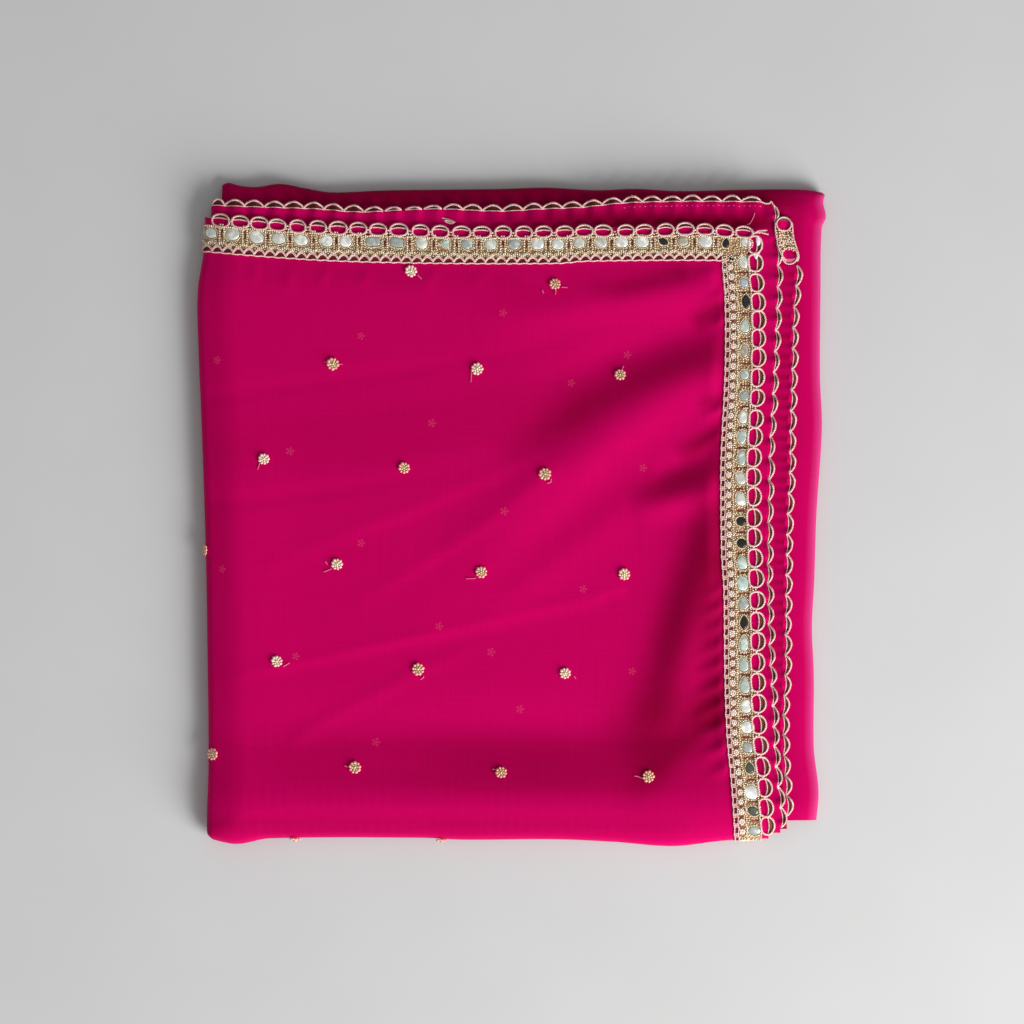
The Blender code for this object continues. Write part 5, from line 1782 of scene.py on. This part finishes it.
# %% The scallops
# hem, cusps, reach at the low end and the high end, how far the cloth bows, where they are flat
SCALLOPED = {
    "second_scallops_back": (
        beside(SECOND, second_back, False),
        cusps_at((0, 1, 28), (-141.4, -134.9, 117.4)),
        2.9, 2.4, 0.1, -46.0,
    ),
    "second_scallops_side": (
        beside(SECOND, second_right, True),
        cusps_at((0, 1, 3, 16, 27, 30), (145.2, 137.7, 117.2, -13.5, -118.3, -147.0)),
        2.2, 2.7, 0.42,
    ),
    "third_scallops_side": (
        beside(THIRD, third_right, True),
        cusps_at((0, 13, 27), (117.2, -9.3, -141.3)),
        2.6, 2.9, 0.36,
    ),
}
scallop_pieces, scallop_hems, cloth_pairs, shaded_net_pairs = {}, [], [], []
for name, rule in SCALLOPED.items():
    cords, hems, cloths, nets = scallop_set(*rule)
    scallop_pieces[name] = twisted.make(name, many(cords), cord_finish, **SCALLOP_CORD)
    scallop_hems += hems
    cloth_pairs += cloths
    shaded_net_pairs += nets
hem_cords = twisted.make("scallop_hem_cords", many(scallop_hems), cord_finish, **THIN_CORD)
# the dark nets under the scallops are painted shade of the layer below, and the cloth strips carry a
# little painted shade
scallop_nets_and_shade = ribbons("scallop_nets_and_shade", shaded_net_pairs, shade_gap_finish, beaded=0.0)
scallop_cloths = ribbons("scallop_cloths", cloth_pairs, cloth_finish, depth=0.2, sheer=0.0)

# %% [markdown]
# ## The corner of the third layer
#
# One corner of the third layer is turned over, so its lace shows right side up.  Its places don't
# follow any edge, so `on_lace` can't give them.  It is a small flat strip of its own, with its
# cords, its loops and its beads laid on it.

# %% The turned corner's net and beads
# y, then x at the left side and at the right side
CORNER_LACE = (
    (140.2, 126.0, 129.6), (138.6, 124.4, 131.2), (135.0, 123.8, 132.0), (131.5, 124.1, 132.2),
    (128.0, 124.8, 133.0), (125.0, 125.4, 134.0), (122.0, 126.8, 134.8), (119.6, 128.6, 134.6),
    (117.6, 129.8, 132.8),
)
corner_y, *corner_sides = zip(*CORNER_LACE)
corner_left, corner_right = (curve_through(list(zip(corner_y, x))) for x in corner_sides)


def corner_point(x, y, lift):
    """The turned corner lies on the third layer, and laps over the second layer's edge."""
    x, y = np.broadcast_arrays(np.asarray(x, float), np.asarray(y, float))
    lap = eased((129.5 - x) / 4.0)
    return np.stack([x, y, THIRD_LEVEL + 0.35 + 1.5 * lap + lift + np.zeros_like(x)], -1)


down, share = np.meshgrid(np.linspace(140.0, 117.8, 30), np.linspace(0, 1, 9), indexing="ij")
corner_x = corner_left(down) + (corner_right(down) - corner_left(down)) * share
cells = grid_cells(*down.shape).reshape(-1, 4)
corner_net = mesh_piece(
    "corner_net", corner_point(corner_x, down, 0.0).reshape(-1, 3), cells.tolist(), net_and_shade_finish
)
# the corner net is maroon painted shade, except towards its middle where beads lie
mark(corner_net, "beaded", 0.15 + 0.6 * eased((133.5 - down) / 2) * eased((down - 124.5) / 2))
full = ((down[:-1, :-1] < 134.0) & (down[:-1, :-1] > 124.6)).ravel()
used, faces = used_only(cells[full])
raised = corner_point(corner_x, down, 0.45).reshape(-1, 3)[used]
corner_beads = bead_fill.make("corner_beads", (raised, [], faces), bead_finish, Bead=0.00056)

# %% Its loops, its edges and the cloth in it
CORNER_LOOPS = ((127.9, 136.4, 3.5, 3.2), (130.6, 121.6, 3.7, 3.9))  # x, y, half width, half height
CORNER_EYES = ((130.9, 129.0, 1.2, 1.2), (126.9, 127.6, 1.0, 1.1))

corner_lines, corner_rings = [], []
for x, y, wide, tall in CORNER_LOOPS + CORNER_EYES:
    x, y = x + wide * np.cos(LOOP_ANGLES), y + tall * np.sin(LOOP_ANGLES)
    corner_rings.append(corner_point(x, y, 0.5))
for edge in (corner_left, corner_right):
    y = np.linspace(137.0, 119.0, 40)
    corner_lines.append(corner_point(edge(y), y, 0.35))
corner_cords = twisted.make("corner_cords", many(corner_lines, corner_rings), cord_finish, **EDGE_CORD)
dip = np.sqrt(1 - (0.95 * CRESCENT) ** 2)
upper_x, lower_x = 127.9 + 3.2 * CRESCENT, 130.6 + 3.4 * CRESCENT


def corner_strip(x, low, high, lift):
    """A strip between two distances from the front."""
    return corner_point(x, low, lift), corner_point(x, high, lift)


inside = [
    corner_strip(upper_x, 136.4 - 2.9 * dip, 136.4 + 1.6 * dip, 0.12),
    corner_strip(lower_x, 121.6 - 3.6 * dip, 121.6 + 3.2 * dip, 0.12),
]
# a little painted shade on the cloth in the corner loops
corner_cloth = ribbons("corner_cloth", inside, cloth_finish, depth=0.2, sheer=0.0)
# a pale crescent of pink thread in the lower loop: a painted highlight
smile = [corner_strip(lower_x, 121.8 - 3.4 * dip, 121.4 - 1.3 * dip, 0.3)]
corner_glow = ribbons("corner_glow", smile, thread_finish)

# %% Loose ends of cord
# two lie where the back lace ends, and one on the second layer past it: (x, y)
LACE_ENDS = (
    (TOP_LEVEL + 0.7, ((112.4, 132.9), (114.6, 132.2), (117.0, 132.4), (120.4, 131.5))),
    (TOP_LEVEL + 0.9, ((113.0, 131.6), (116.0, 133.2), (119.8, 133.4))),
    (SECOND_LEVEL + 0.3, (
        (117.4, 146.8), (119.4, 146.0), (121.2, 146.2), (121.9, 147.2), (122.6, 146.0),
        (123.6, 144.6),
    )),
)
CURL = (
    (-32.6, 139.2), (-30.8, 138.9), (-28.4, 138.2), (-26.6, 137.3), (-28.0, 136.6), (-30.2, 137.1),
    (-31.6, 138.1), (-29.6, 138.0), (-27.6, 137.2),
)
stub_lines = [np.column_stack([line, np.full(len(line), level)]) for level, line in LACE_ENDS]
stub_lines.append(SECOND.lifted(*np.array(CURL).T, np.linspace(0.25, 0.9, len(CURL))))
loose_cords = twisted.make("loose_cords", many(stub_lines), cord_finish, **EDGE_CORD)

# %% [markdown]
# ## Flowers
#
# Small flowers of gold thread are scattered in a half-drop grid.  Each is a ring of uneven petals
# round a golden middle, turned its own way, and the ends of its thread lie loose beside it.  They
# could be a bump in the cloth, but they stand up and catch the light, some more than others.  So
# they are beads on the surface, and `shine` paints a highlight on those that face the window, and
# shade on those that turn away.

# %% Flowers of the top layer
BUTIS = (
    (-47.2, 114.3), (20.4, 108.2), (-83.9, 70.7), (-16.2, 68.4), (51.0, 65.6), (-116.3, 26.1),
    (-50.5, 21.9), (15.7, 19.0), (-144.3, -16.7), (-82.0, -23.3), (-14.3, -27.0), (52.9, -28.0),
    (-110.2, -68.9), (-43.9, -72.6), (25.1, -74.5), (-140.3, -112.6), (-73.6, -118.7),
    (-4.9, -121.0), (64.2, -122.9),
)


def sewn_on(stretch, places, lift):
    """Places for flowers on a stretch, and the way out of the cloth at each."""
    a, b = np.array(places).T
    return (stretch.lifted(a, b, lift), []), stretch.normal(a, b)


base, ups = sewn_on(TOP, BUTIS, 0.75)
# painted highlight on flowers that catch the light, painted shade on those that turn away from it
SHINE = {0: 1.0, 3: 0.7, 5: 1.0, 9: 0.6, 11: 0.3, 12: 0.8, 14: 0.5, 1: -0.3, 17: -0.6, 18: -0.3}
shine = [SHINE.get(number, 0.0) for number in range(len(BUTIS))]
PETALS = {"Bead": 0.00098, "Ring": 0.00228, "Petals": 9, "Least": 0.74, "Spin": 6.0}
HEARTS = {"Bead": 0.00074, "Ring": 0.00122, "Petals": 6, "Least": 0.8, "Spin": 6.0}
petals = bead_flower.make("buti_petals", base, flower_finish, ups, shine, Middle=0.4, **PETALS)
hearts = bead_flower.make("buti_hearts", base, heart_finish, ups, shine, Middle=1.1, **HEARTS)

# %% Loose ends of thread beside the flowers
# which flower, then the points of the thread, from the flower's middle
TAILS = (
    (0, (3.1, -1.8), (5.0, -3.8)), (1, (3.1, -1.4), (5.8, -1.7)), (1, (0.4, -2.6), (0.2, -5.0)),
    (1, (-5.4, -4.4), (-6.0, -3.0)), (2, (3.0, 0.0), (4.6, -0.1)), (2, (-2.8, 0.7), (-3.9, 0.9)),
    (3, (-2.6, -1.4), (-2.9, -6.2)), (4, (1.1, 2.9), (1.5, 4.1)), (5, (-1.9, -1.9), (-2.9, -4.9)),
    (7, (2.9, -2.3), (2.7, -3.8), (1.0, -4.3)), (9, (-2.4, -2.1), (-6.0, -3.6)),
    (9, (-4.3, -0.2), (-5.5, 1.2)), (10, (-2.5, -2.9), (-7.0, -3.1)), (12, (3.1, -2.4), (6.0, -0.7)),
    (13, (1.2, -4.7), (2.3, -4.0), (2.7, -3.2)), (14, (4.2, -1.4), (5.1, -2.6)),
    (16, (-3.5, 0.2), (-4.7, 0.8)), (17, (-2.6, 1.2), (-3.9, 1.5)),
    (18, (-2.8, -1.0), (-4.9, 0.0), (-6.5, 0.2)),
)
tails = []
for flower, *line in TAILS:
    line = np.array(line) + BUTIS[flower]
    tails.append(TOP.lifted(*line.T, 0.3))
buti_tails = plain.make("buti_tails", many(tails), thread_finish, Ply=0.00021, Twist=0.0, Step=0.0006)

# %% [markdown]
# Three more flowers are half out of sight: two go round the front fold, and one lies under the
# second hem.  The cloth is sheer, so the flowers of the layer below also show faintly through it.
# They lie wrong side up.  In a render the cloth hides them more than a real one does, so they glow
# a little.

# %% Flowers half out of sight
fold_a, hem_place = np.array([-101.8, -32.9]), (np.array([57.3]), np.array([147.3]))
fold_b = top_front(fold_a) - 1.2
stray_places = np.vstack([TOP.lifted(fold_a, fold_b, 0.7), OUTER.lifted(*hem_place, 0.7)])
stray_ups = np.vstack([TOP.normal(fold_a, fold_b), OUTER.normal(*hem_place)])
# painted shade on the flowers half out of sight
stray_shine = [-0.2, -0.2, -0.6]
stray_flowers = bead_flower.make(
    "stray_flowers", (stray_places, []), flower_finish, stray_ups, stray_shine, Middle=1.3, **PETALS
)

# %% Flowers that show through from the layer below
GHOSTS = (
    (-138.4, 72.6), (-70.7, 83.9), (-104.1, 29.8), (-37.4, 43.0), (-4.0, 94.7), (28.0, 61.8),
    (61.8, 21.9), (-3.5, 1.6), (-70.7, -13.4), (33.6, -35.0), (-136.1, -25.6), (-34.1, -52.4),
    (-101.3, -66.5), (-9.6, -64.6), (56.6, -73.6), (4.0, -91.4), (-63.7, -106.9), (54.3, 75.0),
)
ghost_finish = two_tones(
    "zari_wrong_side", 0.9, 2.0, (0.5, 0.32, 0.14), (0.95, 0.75, 0.5),
    Roughness=0.6, Emission_Color=(1.0, 0.55, 0.25), Emission_Strength=0.30,
)
base, ups = sewn_on(SECOND, GHOSTS, 0.3)
under_flowers = bead_flower.make(
    "under_flowers", base, ghost_finish, ups, Bead=0.00065, Ring=0.0015, Petals=5, Middle=1.2
)

# %% [markdown]
# ## Hems and stitches
#
# The hem is a narrow roll of cloth, a little paler than the rest because the light catches it.
# It could be a bevel on the sheet's edge, but the lace hides that.  So a plain cord of cloth runs
# over it.  A row of small stitches shows on the second hem, where the lace under it is sewn on,
# and one thread has come loose there.

# %% Hems
hems = [line_on_lace(side, HEM, 0.02, 1.0, end=end) for side, end in ((False, 114.0), (True, 131.0))]
hem_rolls = plain.make("hem_rolls", many(hems), cloth_finish, Ply=0.00028, Twist=0.0, Step=0.001)
mark(hem_rolls, "depth", np.zeros(len(hem_rolls.data.vertices)))

# %% Stitches, and a loose thread
SEAM_START, SEAM_STITCHES = 52.0, 43
SEAM_INWARD, SEAM_DRIFT = 1.6, 0.3
LOOSE = ((114.2, 141.6), (113.4, 139.2), (112.5, 137.6), (111.8, 136.6), (110.6, 136.2))

seam = SEAM_START + np.cumsum(CHANCE.uniform(0.7, 2.3, SEAM_STITCHES))
drift = CHANCE.uniform(-SEAM_DRIFT, SEAM_DRIFT, seam.shape)
seams = [SECOND.lifted(seam, second_back(seam) - SEAM_INWARD + drift, 0.05)]
loose_ends = [SECOND.lifted(*np.array(LOOSE).T, 0.3)]
hem_stitches = stitches.make("hem_stitches", many(seams), thread_finish, Bead=0.00034)
loose_thread = plain.make("loose_thread", many(loose_ends), thread_finish, Twist=0.0, Ply=0.0002)

# %% [markdown]
# ## What each piece stands for
#
# Every piece rides on the one body of the packet, because cloth has no joints.  Those that are a
# finer form of a CAD piece replace it.  The CAD piece could be left showing under them, but then
# two surfaces would lie in the same place, and flicker.

# %% What replaces what
GOLD_STANDS_FOR = {
    net_back: ["lace_band_back"],
    net_side: ["lace_band_side"],
    loops_back: ["lace_loops_back"],
    loops_side: ["lace_loops_side"],
    corner_net: ["third_corner_lace"],
    petals: [f"buti_{number:02d}" for number in range(1, len(BUTIS) + 1)],
    **{piece: [name] for name, piece in scallop_pieces.items()},
}
GOLD = [
    cords_back, cords_side, beads_back, beads_side, braid_rows, rosettes, mirror_beads, loop_hems,
    loop_nets_and_shade, hem_cords, scallop_nets_and_shade, corner_beads, corner_cords, hearts, loose_cords, under_flowers,
    stray_flowers, *GOLD_STANDS_FOR,
]
CLOTH_STANDS_FOR = {
    top_cloth: "top_layer",
    second_cloth: "second_layer",
    third_cloth: "third_layer",
    outer_cloth: "outer_fold",
    folded_layers: "hidden_layers",
}
PINK_TRIM = [
    hem_rolls, hem_stitches, loose_thread, loop_cloths, scallop_cloths, corner_cloth, corner_glow,
    buti_tails,
]
print(len(GOLD) + len(PINK_TRIM), "pieces of trimming")


# %% Riding, and replacing
def ride(pieces, slot):
    """Pieces that ride on the packet; the slot's name is only printed."""
    for piece in pieces:
        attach(piece, "root")
    print("pieces in the slot", slot, "here:", len(pieces))


ride(GOLD, "zari_lace")
for piece, nodes in GOLD_STANDS_FOR.items():
    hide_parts(*nodes)
ride(CLOTH_STANDS_FOR, "georgette")
for piece, node in CLOTH_STANDS_FOR.items():
    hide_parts(node)
ride(PINK_TRIM, "georgette")
ride([mirrors], "mirror_glass")

# %% [markdown]
# ## The sheets
#
# A sheet of cloth has a flat size, from before it was folded.  The outer fold is an L.  Only the
# number of sheets is printed here.

# %% The sheets
print(len(CLOTH_STANDS_FOR) - 1, "sheets, each resting on what lies under it")

# %% [markdown]
# ## The size, and the end
#
# The box of the CAD model and that of all that was made above are kept.  They should agree to
# about a millimetre.

# %% The size, and the end
made_box = [list(corner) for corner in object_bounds()]
for label, box in (("CAD", cad_box), ("scene", made_box)):
    print(label, "box in mm:", [[round(value / MM, 1) for value in corner] for corner in box])
shown = [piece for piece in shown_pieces() if piece.type == "MESH"]
triangles = sum(len(face.vertices) - 2 for piece in shown for face in piece.data.polygons)
print(len(shown), "pieces,", triangles, "triangles")
